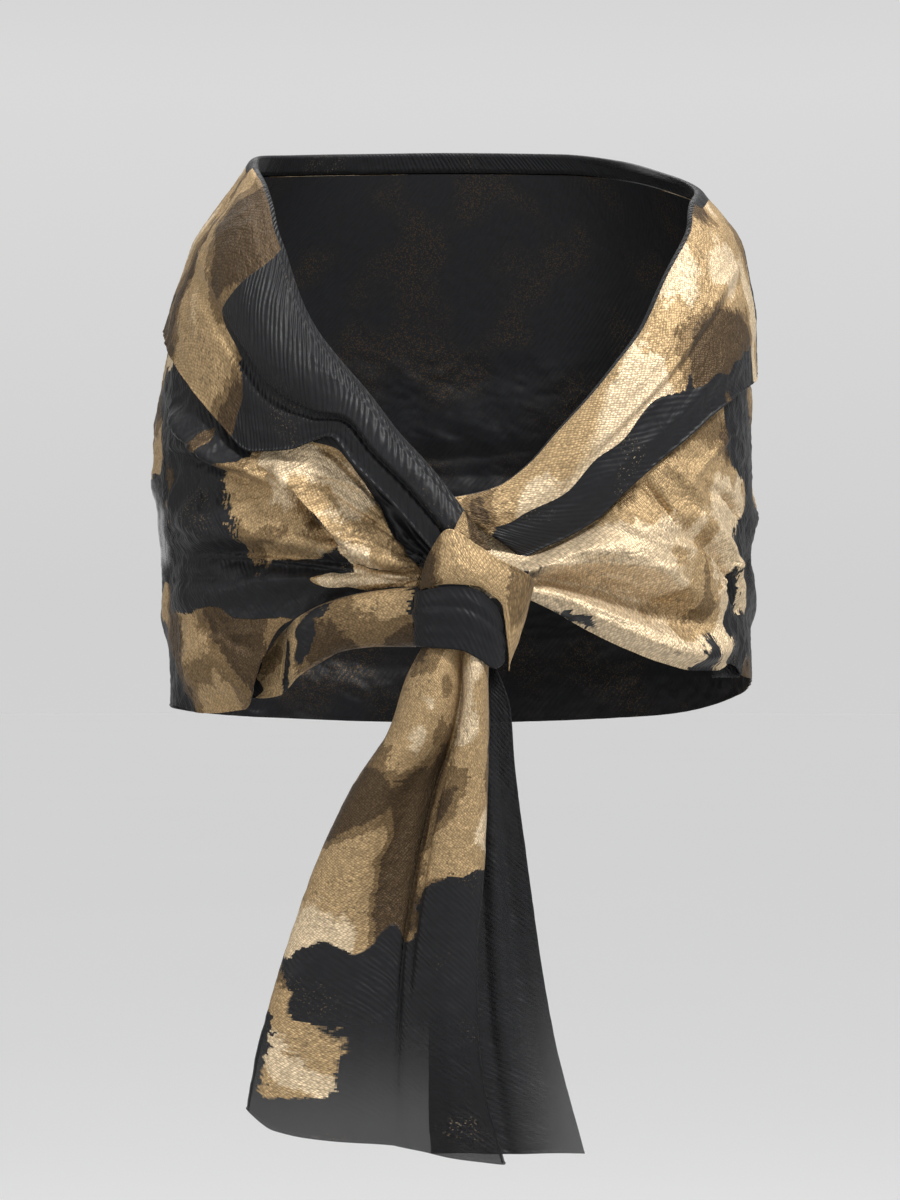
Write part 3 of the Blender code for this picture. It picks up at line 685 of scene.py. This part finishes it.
class Nodes:
    """Adds nodes to a material or to the world, and links them."""

    def __init__(self, owner):
        owner.use_nodes = True
        self.owner = owner
        self.tree = owner.node_tree

    def put(self, socket, value):
        if isinstance(value, bpy.types.NodeSocket):
            self.tree.links.new(value, socket)
        else:
            socket.default_value = value

    def add(self, kind, inputs, output=0, **settings):
        node = self.tree.nodes.new("ShaderNode" + kind)
        for key, value in settings.items():
            setattr(node, key, value)
        for key, value in inputs.items():
            self.put(node.inputs[key], value)
        return node.outputs[output]

    def sum(self, operation, first, second=0, third=0):
        return self.add("Math", {0: first, 1: second, 2: third}, operation=operation)

    def times(self, first, second):
        return self.sum("MULTIPLY", first, second)

    def shift(self, operation, first, second):
        return self.add("VectorMath", {0: first, 1: second}, operation=operation)

    def attribute(self, name, output):
        return self.add("Attribute", {}, output, attribute_name=name)

    def cloudy(self, vector, scale, detail=2, output=0, distortion=0):
        inputs = {"Vector": vector, "Scale": scale, "Detail": detail, "Distortion": distortion}
        return self.add("TexNoise", inputs, output)

    def cells(self, vector, scale, output, randomness=1):
        inputs = {"Vector": vector, "Scale": scale, "Randomness": randomness}
        return self.add("TexVoronoi", inputs, output)

    def slanted(self, vector, angle, scales):
        turned = self.add("VectorRotate", {"Vector": vector, "Angle": angle})
        return self.shift("MULTIPLY", turned, scales)

    def one_of(self, colour):
        return self.add("SeparateColor", {0: colour})

    def blend(self, factor, first, second):
        return self.add("Mix", {0: factor, 6: first, 7: second}, 2, data_type="RGBA")

    def step(self, value, edge, softness, low=0, high=1):
        """From low below the edge to high above it, over that softness."""
        inputs = {0: value, 1: edge - softness, 2: edge + softness, 3: low, 4: high}
        return self.add("MapRange", inputs, clamp=True)

    def crinkle(self, vector, scale):
        """Relief with soft facets between sharp creases, from 0 to 1."""
        cloud = self.cloudy(vector, scale, 1, 0, 0.9)
        return self.sum("ABSOLUTE", self.sum("MULTIPLY_ADD", cloud, 3, -1.5))

    def crepe(self, cloth, strength):
        """The relief of the black cloth: fine slanting ribs over a soft crush."""
        inputs = {"Vector": self.slanted(cloth, RIB_ANGLE, (0.3, 1, 1)), "Scale": 86}
        inputs.update({"Distortion": 4, "Detail": 1, "Detail Scale": 1.2})
        ribs = self.add("TexWave", inputs, 1, bands_direction="Y")
        seen = self.step(self.cloudy(cloth, 24, 1), 0.45, 0.2, 0.4 * strength, strength)
        seen = self.times(seen, self.attribute("ribbed", 2))
        crush = self.times(self.cloudy(cloth, 62, 2, 0, 0.8), 1.4)
        return self.sum("MULTIPLY_ADD", ribs, seen, self.times(crush, strength))

    def black(self, cloth):
        """The colour of the black yarn, a little uneven along its ribs."""
        shade = self.cloudy(self.slanted(cloth, RIB_ANGLE, (130, 520, 1)), 1, 2)
        return self.blend(shade, BLACK, SOFT_BLACK)

    def finish(self, **inputs):
        for name, value in inputs.items():
            self.put(self.tree.nodes["Principled BSDF"].inputs[name.replace("_", " ")], value)
        return self.owner

    def finish_cloth(self, relief, strength, clear, **inputs):
        """The cloth's own relief and soft sheen; clear is how much shows through it, or None."""
        bump = self.add("Bump", {"Strength": strength, "Distance": RELIEF_DEPTH, "Height": relief})
        if clear is not None:
            self.finish(Alpha=self.sum("SUBTRACT", 1, clear))
        return self.finish(Normal=bump, Sheen_Weight=0.05, Sheen_Roughness=0.4, **inputs)


def jacquard(name, see_through=True):
    """The face of the cloth: black crepe ground with brushed metallic patches in gold and bronze."""
    n = Nodes(bpy.data.materials.new(name))
    cloth = n.attribute("cloth", 1)
    gilt, sheer, pale = (n.attribute(title, 2) for title in ("gilt", "sheer", "pale"))
    woven = n.shift("SNAP", n.shift("ADD", cloth, (4, 4, 0)), (0.001, 0.0015, 1))
    wander = n.shift("SUBTRACT", n.cloudy(woven, 13, 1, 1), (0.5, 0.5, 0.5))
    wander = n.shift("MULTIPLY", wander, (0.05, 0.05, 0))
    threads = n.sum("SUBTRACT", n.cloudy(n.shift("MULTIPLY", woven, (70, 800, 1)), 1, 1), 0.5)
    tufts = n.sum("SUBTRACT", n.cloudy(woven, 260, 2), 0.5)
    torn = n.sum("SUBTRACT", n.cloudy(woven, 70, 2), 0.5)
    fray = n.sum("ADD", n.times(threads, 0.009), n.times(tufts, 0.011))
    fray = n.sum("MULTIPLY_ADD", torn, 0.02, fray)
    place = n.shift("ADD", n.shift("ADD", woven, wander), n.add("CombineXYZ", {"X": fray, "Y": fray}))
    broad = n.cloudy(place, PATCHES, 1.6, 0, 0.5)
    # The gilt and pale attributes are mostly the cloth's own pattern and tone. In a few places they also
    # carry painted shade: black under the collar band's edge and at the roll's end under the bag, and a
    # darker tone in the tail's recess and on the point's folded facet.
    gold = n.step(n.sum("ADD", broad, gilt), 0.5, 0.003)
    tone = n.sum("ADD", n.cloudy(n.shift("ADD", place, (3.1, 1.7, 0)), TONES, 1.2, 0, 0.6), pale)
    colour = n.blend(n.step(tone, 0.42, 0.003), BRONZE, OLD_GOLD)
    colour = n.blend(n.step(tone, 0.48, 0.003), colour, CHAMPAGNE)
    colour = n.blend(n.step(tone, 0.6, 0.012), colour, PALE_GOLD)
    weave = n.slanted(cloth, 0.55, (470, 700, 1))
    pebble = n.cells(weave, 1, 0, 0.45)
    # Painted glints: each thread cell of the gold is made brighter or dimmer at random, as if catching
    # the light; the darker rims between cells are the dark weave between the gold threads.
    painted_glint_and_weave = n.times(n.step(n.one_of(n.cells(weave, 1, 1, 0.45)), 0.5, 0.5, 0.84, 1.16),
                  n.step(pebble, 0.42, 0.22, 1.16, 0.66))
    colour = n.shift("MULTIPLY", colour, n.add("CombineXYZ", {"X": painted_glint_and_weave, "Y": painted_glint_and_weave, "Z": painted_glint_and_weave}))
    worn = n.cloudy(cloth, 300, 3)
    thin_spots = n.step(n.cloudy(cloth, 22, 1), 0.54, 0.08, 0, 0.4)
    thin = n.times(n.step(worn, 0.6, 0.04), thin_spots)
    gold = n.times(gold, n.sum("SUBTRACT", 1, thin))
    small = n.one_of(n.cells(cloth, FLECKS, 1))
    stray_spots = n.step(n.cloudy(cloth, 20, 1), 0.62, 0.06, 0, 0.4)
    stray = n.times(n.step(small, 0.95, 0.02), stray_spots)
    gold = n.sum("MAXIMUM", gold, stray)
    base = n.blend(gold, n.black(cloth), colour)
    pebbles = n.times(pebble, -0.45)
    crushed = n.step(n.cloudy(n.shift("ADD", cloth, (5.2, 0.4, 0)), 6.5, 1), 0.49, 0.08, 0.14, 0.9)
    cracks = n.crinkle(n.shift("MULTIPLY", cloth, (1, 0.7, 1)), 95)
    fine_cracks = n.crinkle(n.shift("MULTIPLY", cloth, (0.8, 1.2, 1)), 210)
    fine = n.sum("MULTIPLY_ADD", fine_cracks, 0.16, pebbles)
    relief_gold = n.sum("MULTIPLY_ADD", cracks, crushed, fine)
    relief = n.add("MapRange", {"Value": gold, "To Min": n.crepe(cloth, 0.8), "To Max": relief_gold})
    clear = n.times(sheer, n.sum("SUBTRACT", 1, gold)) if see_through else None
    rough = n.step(gold, 0.5, 0.5, BLACK_ROUGHNESS, GOLD_ROUGHNESS)
    rough = n.sum("MULTIPLY_ADD", n.sum("SUBTRACT", worn, 0.5), 0.3, rough)
    return n.finish_cloth(relief, 0.75, clear, Base_Color=base, Metallic=n.times(gold, GOLD_METALLIC),
                          Roughness=rough, Specular_IOR_Level=0.2)


def organza(name, ribs, flecks=0, see_through=True):
    """Plain black crepe organza, and on the reverse of the jacquard small gold flecks."""
    n = Nodes(bpy.data.materials.new(name))
    cloth = n.attribute("cloth", 1)
    clear = n.attribute("sheer", 2) if see_through else None
    base = n.black(cloth)
    metal = 0
    if flecks:
        fleck = n.one_of(n.cells(cloth, FLECKS, 1))
        band = n.step(n.cloudy(cloth, 16, 1), 0.54, 0.07, 0, flecks)
        metal = n.times(n.step(fleck, 0.84, 0.03), band)
        base = n.blend(metal, base, BRONZE)
    return n.finish_cloth(n.crepe(cloth, ribs), 0.8, clear, Base_Color=base, Metallic=metal,
                          Roughness=BLACK_ROUGHNESS, Specular_IOR_Level=0.16)


# The last rows of a piece, closer together for its rolled hem
HEM_ROWS = (0.985, 3, 0.994, 3, 1)

# The wrap: right front, back and left front in one run of cloth, parted where the solids are
INNER_EDGE = 177
INTO_KNOT = 14
INTO_KNOT_TURNS = (160, 169)
LEAVES_KNOT = 173
MEETS_COLLAR = (0.04, 0.19)
RIGHT_HEM_DROP = 10
RIGHT_HEM_TURNS = (174.5, 175.6)
SHEET_ROWS = spans(0, 4, 0.19, 8, 0.25, 150, *HEM_ROWS)
COLLAR_ROWS = spans(0, 3, INNER_SHARE, 14, TURN_SHARE, 70, *HEM_ROWS)
FRONT_TURNS = (108, 128)
PAST_SEAM = 0.4
RIGHT_APEX = (-179, -262)
LEFT_APEX = (171, -268)


def hem_height(turn):
    roll_top = between(ROLL, "turn", "top", turn) + LIP_GAP
    hem = mix(height_on(HEM, turn), roll_top, ease(-turn, *LIP_TURNS))
    hem -= RIGHT_HEM_DROP * ease(-turn, *RIGHT_HEM_TURNS)
    return mix(hem, between(SWOOP, "turn", "hem", turn), ease(turn, *SWOOP_HEM))


def wrap_lift(turn, v, height):
    """How far the wrap stands off the figure: folds, the bag on the right, the swoop on the left."""
    seen = past_flap(turn, height)
    lift = folds(BACK_FOLDS, turn, height) * seen
    right = folds(RIGHT_FOLDS, turn, height) * seen * ease(-turn, SIDE_TURN, SIDE_FADE)
    bag = BAG_RISE * bump(turn - BAG_TURN, BAG_REACH) * bump(height - BAG_HEIGHT, BAG_DEPTH)
    bag *= ease(-turn, *BAG_STARTS)
    tucked = ease(-turn, *BAG_TUCK_TURNS) * (1 - ease(-turn, *BAG_TUCK_ENDS))
    bag -= BAG_TUCK * ease(v, BAG_TUCK_FROM, 1) * tucked
    lift += np.where(turn < -SIDE_TURN, right + bag, 0)
    at = np.maximum(turn, SIDE_TURN)
    rim, hollow, lower, hem = several(SWOOP, "turn", "rim hollow lower hem", at)
    rim_rise, hollow_rise, lower_rise = several(SWOOP, "turn", "rim_rise hollow_rise lower_rise", at)
    edge = height_on(FLAP, at)
    swoop = rim_rise * ease(edge - height, 1, np.maximum(edge - rim, SWOOP_START))
    into = mix(rim_rise, hollow_rise, ease(rim - height, 0, rim - hollow))
    swoop = np.where(height < rim, into, swoop)
    deep = mix(hollow_rise, lower_rise, ease(hollow - height, 0, hollow - lower))
    swoop = np.where(height < hollow, deep, swoop)
    under = lower_rise * (1 - SWOOP_TURNS_IN * ease(lower - height, 0, np.maximum(lower - hem, 1)))
    swoop = np.where(height < lower, under, swoop)
    swoop += folds(LEFT_FOLDS, turn, height) * seen * ease(turn, SIDE_TURN, SIDE_FADE)
    return lift + np.where(turn > SIDE_TURN, swoop, 0)


def right_front_tones(turn, height):
    """How gilt and how pale the right front is: a gold pleat, black cloth above it under the collar band
    that is partly painted shade, and browner below.
    """
    above_lower = height - height_on(LEAF_LOWER, turn)
    above_upper = height - height_on(LEAF_UPPER, turn)
    leaf = ease(above_lower, -2, 1.5) * (1 - ease(above_upper, -1.5, 2)) * ease(-turn, 140, 147)
    # Partly painted shade: above the pleat, under the collar band's edge, the cloth is made black where
    # that deep space lies in shade.
    black_gap_with_painted_shade = ease(above_upper, 0, 3) * ease(-turn, 148, 156)
    below = 1 - ease(height - height_on(FRONT_CREASE, turn), -3, 0)
    strip = bump(height + 269, 4) * ease(-turn, 154, 160)
    bag = ease(-height, 285, 305) * ease(-turn, 106, 116)
    rest = (1 - leaf) * (1 - strip) * (1 - bag)
    gilt = 0.12 * leaf - 0.35 * black_gap_with_painted_shade - (0.05 + 0.04 * below) * rest + 0.2 * strip + 0.08 * bag
    return gilt, 0.02 * leaf + 0.1 * strip - 0.09 * (1 - leaf) * (1 - strip)


def make_wrap(name, node, columns, keep, looks):
    turn, v = np.meshgrid(columns, SHEET_ROWS)
    height = down_the_sheet(turn, v, hem_height(turn))
    seen = past_flap(turn, height)
    lift = wrap_lift(turn, v, height) + folds(FINE_FOLDS, turn, height) * seen
    outward = ease(turn, *INTO_KNOT_TURNS) * (1 - 0.8 * ease(turn, LEAVES_KNOT, INNER_EDGE))
    lift += INTO_KNOT * outward * ease(-height, 243, 258)
    lift += crossing(turn) * (1 - ease(v, *MEETS_COLLAR))
    points = sheet_point(turn, height, lift)
    along, across = turn * MM_PER_TURN, -height
    right = ease(-turn, *FRONT_TURNS)
    left = ease(turn, *FRONT_TURNS)
    from_knot = 1 - ease(np.abs(turn), 166, 176)
    detail = (1.8 + 0.8 * right - 0.9 * left) * drag(v * 6 + 0.8 * (right + left), along / 95, 11)
    detail *= 0.3 + 0.7 * from_knot
    detail += 2.2 * right * gathers(turn, height, RIGHT_APEX, 4.5, 130, 301)
    detail += 1.2 * left * gathers(turn, height, LEFT_APEX, 4, 100, 311)
    block = bump(turn + 165, 6) * bump(height + 243, 12)
    soft = 1 - 0.6 * left
    detail += from_knot * (0.9 * soft + block) * crumple(across, along, 21, 21)
    detail += from_knot * (0.42 * soft + block) * crumple(across, along, 10, 31)
    behind = 0.11 * noise(along / 130 + 0.4, across / 150 + 0.7, 401) - 0.03
    gilt = 0.03 + behind * (1 - left - right) + 0.13 * left
    more_gilt, paler = right_front_tones(turn, height)
    gilt += right * more_gilt
    torn = 0.5 * noise(turn / 9, height / 22, 351)
    window = (1 - ease(np.abs(turn + 92 + 9 * torn), 12, 24)) * ease(-height + 30 * torn, 165, 215)
    window *= ease(height + 14 * torn, -282, -250)
    slit = bump(turn - 99, 8) * ease(-height, 215, 235) * ease(height, -290, -265)
    tones = (gilt - 0.5 * window - 0.2 * slit, 0.8 * window + 0.25 * slit, 0.1 * left + right * paler)
    piece = shell(name, points, detail * seen, (across, along), tones, looks, keep=keep)
    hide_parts(node)


def make_wraps(looks):
    seam, step = SIDE_TURN, PAST_SEAM
    right = spans(-178, 262, -seam, 1, -seam + step)
    behind = spans(-seam - step, 1, -seam, 130, seam, 1, seam + step)
    left = spans(seam - step, 1, seam, 220, INNER_EDGE)
    make_wrap("wrap_right", "front_right", right, slice(0, -1), looks)
    make_wrap("wrap_behind", "back_wrap", behind, slice(1, -1), looks)
    make_wrap("wrap_left", "front_left", left, slice(1, None), looks)


def make_collar(looks):
    neck, v = np.meshgrid(spans(COLLAR_RIGHT_END, 400, COLLAR_LEFT_END), COLLAR_ROWS)
    points = collar(neck, v)
    down = np.clip((v - TURN_SHARE) / (1 - TURN_SHARE), 0, 1)
    turn, height = several(FLAP, "neck_turn", "turn height", neck)
    long = np.hypot((turn - neck) * MM_PER_TURN, height_on(NECK, neck) - height)
    before = (v / TURN_SHARE - 1) * (INNER_LEG + math.pi * FOLD_RADIUS)
    along, across = (neck + 300) * MM_PER_TURN, np.where(v < TURN_SHARE, before, down * long)
    open_part = ease(down, 0, 0.12) * (1 - ease(np.abs(neck), 166, 178))
    on_right = ease(-neck, 112, 130)
    ribbed = ease(-neck, 126, 140) * (1 - ease(down, 0.46, 0.5))
    detail = open_part * (1 - 0.8 * ribbed) * 1.3 * drag(down * 3.2, along / 120, 41)
    soft = open_part * (1 - 0.6 * ribbed) * (1 - 0.4 * ease(neck, 92, 108))
    detail += soft * (0.7 * crumple(across, along, 20, 51) + 0.35 * crumple(across, along, 9, 61))
    proud = 3.2 * (1 - ease(down, 0.47, 0.52)) * ease(down, 0, 0.12) + 1.2 * bump(down - 0.28, 0.12)
    detail += on_right * (proud - 3 * bump(down - 0.56, 0.04))
    creased = 2.2 * bump(down - 0.36, 0.03) - 2.4 * bump(down - 0.44, 0.03)
    creased += 1.2 * bump(down - 0.72, 0.05)
    detail += creased * ease(neck, 104, 118) * (1 - ease(neck, 150, 166))
    ragged = 0.1 * noise(neck / 7, down * 2, 45)
    above_crease = 1 - ease(down, 0.5, 0.55) * (1 - ease(-neck, 150, 156))
    band = ease(-neck + 60 * ragged + 8 * down, 143, 150) * above_crease
    edge = 1 - 0.25 * ease(neck, 102, 122) - 0.3 * ease(neck, 138, 154) + ragged
    border = ease(down, edge, edge + 0.05) * ease(neck, 100, 108)
    on_left = ease(neck, 92, 108)
    gilt = 0.05 + 0.34 * bump(neck + 122, 20) + 0.15 * on_left - 0.5 * band - 0.35 * border
    edge_black = ease(neck, -118, -100) * (1 - ease(neck, 108, 122))
    turned = 0.5 * np.maximum((1 - ease(down, 0, 0.04)) * edge_black, v < 0.8 * TURN_SHARE)
    strip = 0.55 * bump(neck - 60, 15) * ease(v, 0.08, 0.14) * (1 - ease(v, 0.38, 0.42))
    tones = (gilt - turned - strip, strip, 0.06 * on_left - 0.02 * on_right)
    piece = shell("collar", points, detail, (across, along), tones, looks, beads=(0, 0, 0.4, 1),
                  ribbed=0.25 + 0.6 * ease(-neck, 126, 140))
    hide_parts("collar_back", "collar_right", "collar_left")


def make_piece(name, node, shape, count, rows, look, tones=(0, 0, 0),
               wave=0.4, folded=0.6, many=4, runs_across=False, beads=(0, 0, 0, 1), closed=False,
               seed=71, fade=None, placed=None):
    """A smaller piece, by its count of columns and its rows, with folds that run down or across it."""
    u, v = np.meshgrid(spans(0, count, 1), spans(*rows))
    points = shape(u, v)
    across = u * (np.linalg.norm(np.diff(points, axis=1), axis=-1).mean() / MM * count)
    along = v * (np.linalg.norm(np.diff(points, axis=0), axis=-1).mean() / MM * (len(v) - 1))
    soft = 1 if fade is None else fade(u, v)
    long_folds = drag(v * many, u * 1.3, seed) if runs_across else drag(u * many, v * 1.3, seed)
    detail = soft * (folded * long_folds + wave * crumple(across, along, 17, seed + 7))
    if placed is not None:
        detail += placed(u, v)
    tones = [tone(u, v, points) if callable(tone) else tone for tone in tones]
    place = (along + seed * 10, across) if closed else (across + seed * 10, along)
    looks, slot = look
    piece = shell(name, points, detail, place, tones, looks, beads=beads, closed=closed)
    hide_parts(node)


# The studio: its floor in metres, and how light it is from straight below, 0, to straight above, 1
FLOOR_RADIUS = 40
FLOOR_HEIGHT = -1.42
SKY = (
    (0, 0.24), (0.3, 0.34), (0.44, 0.66), (0.5, 0.635), (0.56, 0.7), (0.68, 0.36), (1, 0.22),
)

# The lights: name, place, what each points at, size and power
LIGHTS = (
    ("key", (1.7, -1.8, 2.4), (0, 0, -0.25), 0.7, 135),
    ("fill", (-2.4, -2.2, 0.8), (0, 0, -0.3), 1.4, 18),
    ("top", (-0.2, 1.2, 2.2), (0, 0, -0.2), 1.6, 40),
)

# The camera: how far in front it stands, its height, its sensor and the size of a picture dot there
CAMERA_AWAY = 3.4
CAMERA_HEIGHT = -0.2844
SENSOR_MM = 36
PICTURE_ROWS = 1200
METRES_A_DOT = 0.00079


def make_stage():
    place = (0, 0, FLOOR_HEIGHT)
    bpy.ops.mesh.primitive_circle_add(vertices=96, radius=FLOOR_RADIUS, fill_type="NGON", location=place)
    floor = bpy.context.object
    floor.name = "floor"
    n = Nodes(bpy.data.materials.new("pale_floor"))
    spot = n.add("TexCoord", {}, 3)
    shade = n.cloudy(spot, 0.6, 2)
    colour = n.blend(shade, (0.94, 0.94, 0.94, 1), (0.97, 0.97, 0.97, 1))
    # Painted shade: the floor is grey near the middle, where the lamps light it most, and turns pale
    # further off.
    painted_shade_near = n.step(n.add("VectorMath", {0: spot}, 1, operation="LENGTH"), 2.8, 2)
    colour = n.blend(painted_shade_near, (0.5, 0.5, 0.5, 1), colour)
    floor.data.materials.append(n.finish(Base_Color=colour, Roughness=0.3))
    n = Nodes(bpy.data.worlds.new("studio"))
    scene.world = n.owner
    rise = n.add("SeparateXYZ", {0: n.add("TexCoord", {})}, 2)
    ramp = n.add("ValToRGB", {0: n.sum("MULTIPLY_ADD", rise, 0.5, 0.5)})
    stops = ramp.node.color_ramp.elements
    for place, shade in SKY:
        stop = stops[int(place)] if place in (0, 1) else stops.new(place)
        stop.color = (shade, shade, shade, 1)
    n.put(n.tree.nodes["Background"].inputs["Color"], ramp)
    scene.view_settings.view_transform = "Standard"


def make_light(name, place, aim, size, power):
    light = bpy.data.lights.new(name, "AREA")
    light.size = size
    light.energy = power
    lamp = bpy.data.objects.new(name, light)
    scene.collection.objects.link(lamp)
    lamp.location = place
    x, y, z = np.subtract(place, aim)
    lamp.rotation_euler = (math.atan2(math.hypot(x, y), z), 0, math.atan2(x, -y))


def make_camera():
    camera = bpy.data.cameras.new("camera")
    camera.sensor_width = SENSOR_MM
    camera.lens = SENSOR_MM * CAMERA_AWAY / (PICTURE_ROWS * METRES_A_DOT)
    eye = bpy.data.objects.new("camera", camera)
    eye.location = (0, -CAMERA_AWAY, CAMERA_HEIGHT)
    eye.rotation_euler = (math.pi / 2, 0, 0)
    scene.collection.objects.link(eye)
    scene.camera = eye


# A gold band along the roll, and black at its end under the bag, which is partly the bag's shadow
# painted in.
def roll_gilt_and_bag_shadow(u, v, points):
    ragged = u + 0.06 * noise(v * 5, u * 9, 83)
    return 0.02 + 0.12 * ease(ragged, 0.3, 0.6) - 0.35 * ease(ragged, 0.84, 0.9)


def tail_gilt(u, v, points):
    ragged = -points[..., 2] + 0.35 * points[..., 0] + 0.02 * noise(u * 6, v * 7, 133)
    return 0.26 - 0.34 * ease(ragged, 0.44, 0.58) - 0.25 * (1 - ease(u, 0.16, 0.26)) * ease(v, 0.8, 0.9)


# A slightly paler tone over the point, and painted shade: the facet on the right, turned away where the
# point folds, is made darker.
def tip_tone_and_painted_shade(u, v, points):
    return 0.04 - 0.2 * (1 - ease(u, 0.3, 0.45))


def wrap_pale(u, v, points):
    return -0.01 - 0.1 * ease(u + 0.08 * noise(u * 9, v * 5, 105), 0.52, 0.72)


# Painted shade: the gold in the recess between the two tubes is made darker and browner, as if shaded by
# the folds.
def tail_recess_painted_shade(u, v, points):
    return -0.15 * ease(u, 0.44, 0.47) * (1 - ease(u, 0.6, 0.68)) * ease(v, 0.03, 0.12)


def tail_folds(u, v):
    """A dark recess between the two tubes, and soft upright folds below them."""
    recess = -4.6 * bump(u - 0.43 + 0.05 * v, 0.025) * ease(v, 0.05, 0.2) * (1 - ease(v, 0.55, 0.8))
    low = ease(v, 0.45, 0.85)
    ridges = 2.6 * bump(u - 0.24, 0.035) - 2.4 * bump(u - 0.33, 0.03) + 2.4 * bump(u - 0.6, 0.03)
    return recess + low * (ridges - 2.6 * bump(u - 0.7, 0.03) + 1.8 * bump(u - 0.84, 0.04))


def end_folds(u, v):
    """Upright folds that fan out from the knot down the second end."""
    fan = ease(v, 0.1, 0.5)
    ridges = 2.8 * bump(u - 0.36, 0.07) - 2.6 * bump(u - 0.5, 0.05) + 2.6 * bump(u - 0.64, 0.06)
    return fan * (ridges - 2.2 * bump(u - 0.78, 0.05) + 1.8 * bump(u - 0.9, 0.04))


def tail_sheer(u, v, points):
    return 0.3 * ease(-points[..., 2], 0.56, 0.69)


def end_sheer(u, v, points):
    return 0.08 + 0.28 * ease(points[..., 0], 0.03, 0.1) * ease(v, 0.45, 0.9)


def fade_ends(u, v):
    """For the roll: no folds at its end by the knot, or along its edges."""
    return ease(u, 0, 0.12) * (1 - ease(np.abs(v - 0.5), 0.36, 0.5))


def fade_band(u, v):
    """For the band: no folds along its edges, or where it closes behind the knot."""
    return np.sin(math.pi * v) * ease(u, 0, 0.08) * (1 - ease(u, 0.92, 1))


def fade_foot(u, v):
    return 1 - ease(v, 0.55, 0.85)


def fade_top(u, v):
    return ease(v, 0.04, 0.2)


def make_small_pieces(face, plain, solid_face, solid_plain):
    make_piece(
        "roll", "roll_right", roll_right, 150, (-0.1, 4, 0, 40, 1),
        solid_face, (roll_gilt_and_bag_shadow, 0, 0),
        folded=0.7, many=3, runs_across=True, beads=(0, 0, 0.3, 0.5), seed=81, fade=fade_ends,
    )
    make_piece(
        "under_hem", "under_left", under_left, 60, (0, 24, 1),
        plain, (0, 0.1, 0),
        folded=0.3, seed=91,
    )
    make_piece(
        "knot_wrapped", "knot_wrap", knot_wrap, 120, (0, 56, 1),
        solid_face, (0.3, 0, wrap_pale),
        wave=0.3, folded=0.7, many=3, runs_across=True, beads=(0.5, 0, 1, 0), seed=101, fade=fade_foot,
    )
    make_piece(
        "knot_black_band", "knot_band", band_ring, 180, (0, 44, 1),
        solid_plain,
        wave=0.25, folded=1.5, many=3.5, runs_across=True, beads=(0, 0, 0.6, 0.6), closed=True,
        seed=111, fade=fade_band,
    )
    make_piece(
        "knot_point", "knot_tip", knot_tip, 26, (0, 28, 1),
        solid_face, (0.3, 0, tip_tone_and_painted_shade),
        wave=0.2, folded=0.2, beads=(1, 1, 0, 0), seed=121,
    )
    make_piece(
        "tail", "tail_front", tail_front, 150, (0, 150, *HEM_ROWS),
        face,
        (tail_gilt, tail_sheer, tail_recess_painted_shade), wave=0.35, folded=1.4, beads=(1, 1, 0, 1), seed=131,
        fade=fade_top, placed=tail_folds,
    )
    make_piece(
        "second_end", "tail_back", tail_back, 60, (0, 140, *HEM_ROWS),
        plain,
        (0, end_sheer, 0), wave=0.5, folded=1.2, beads=(1, 1, 0, 1), seed=141,
        fade=fade_top, placed=end_folds,
    )


def make_all():
    face = jacquard("jacquard_face")
    plain = organza("black_crepe", 0.8)
    reverse = organza("reverse", 0.35, flecks=0.8)
    solid_face = jacquard("jacquard_opaque", see_through=False)
    solid_plain = organza("black_crepe_opaque", 0.8, see_through=False)
    solid_reverse = organza("reverse_opaque", 0.35, flecks=0.8, see_through=False)
    make_wraps([face, reverse])
    make_collar([face, reverse])
    make_small_pieces(
        ([face, reverse], "jacquard"), ([plain, plain], "black_organza"),
        ([solid_face, solid_reverse], "jacquard"), ([solid_plain, solid_plain], "black_organza"),
    )
    make_stage()
    for light in LIGHTS:
        make_light(*light)
    make_camera()


make_all()
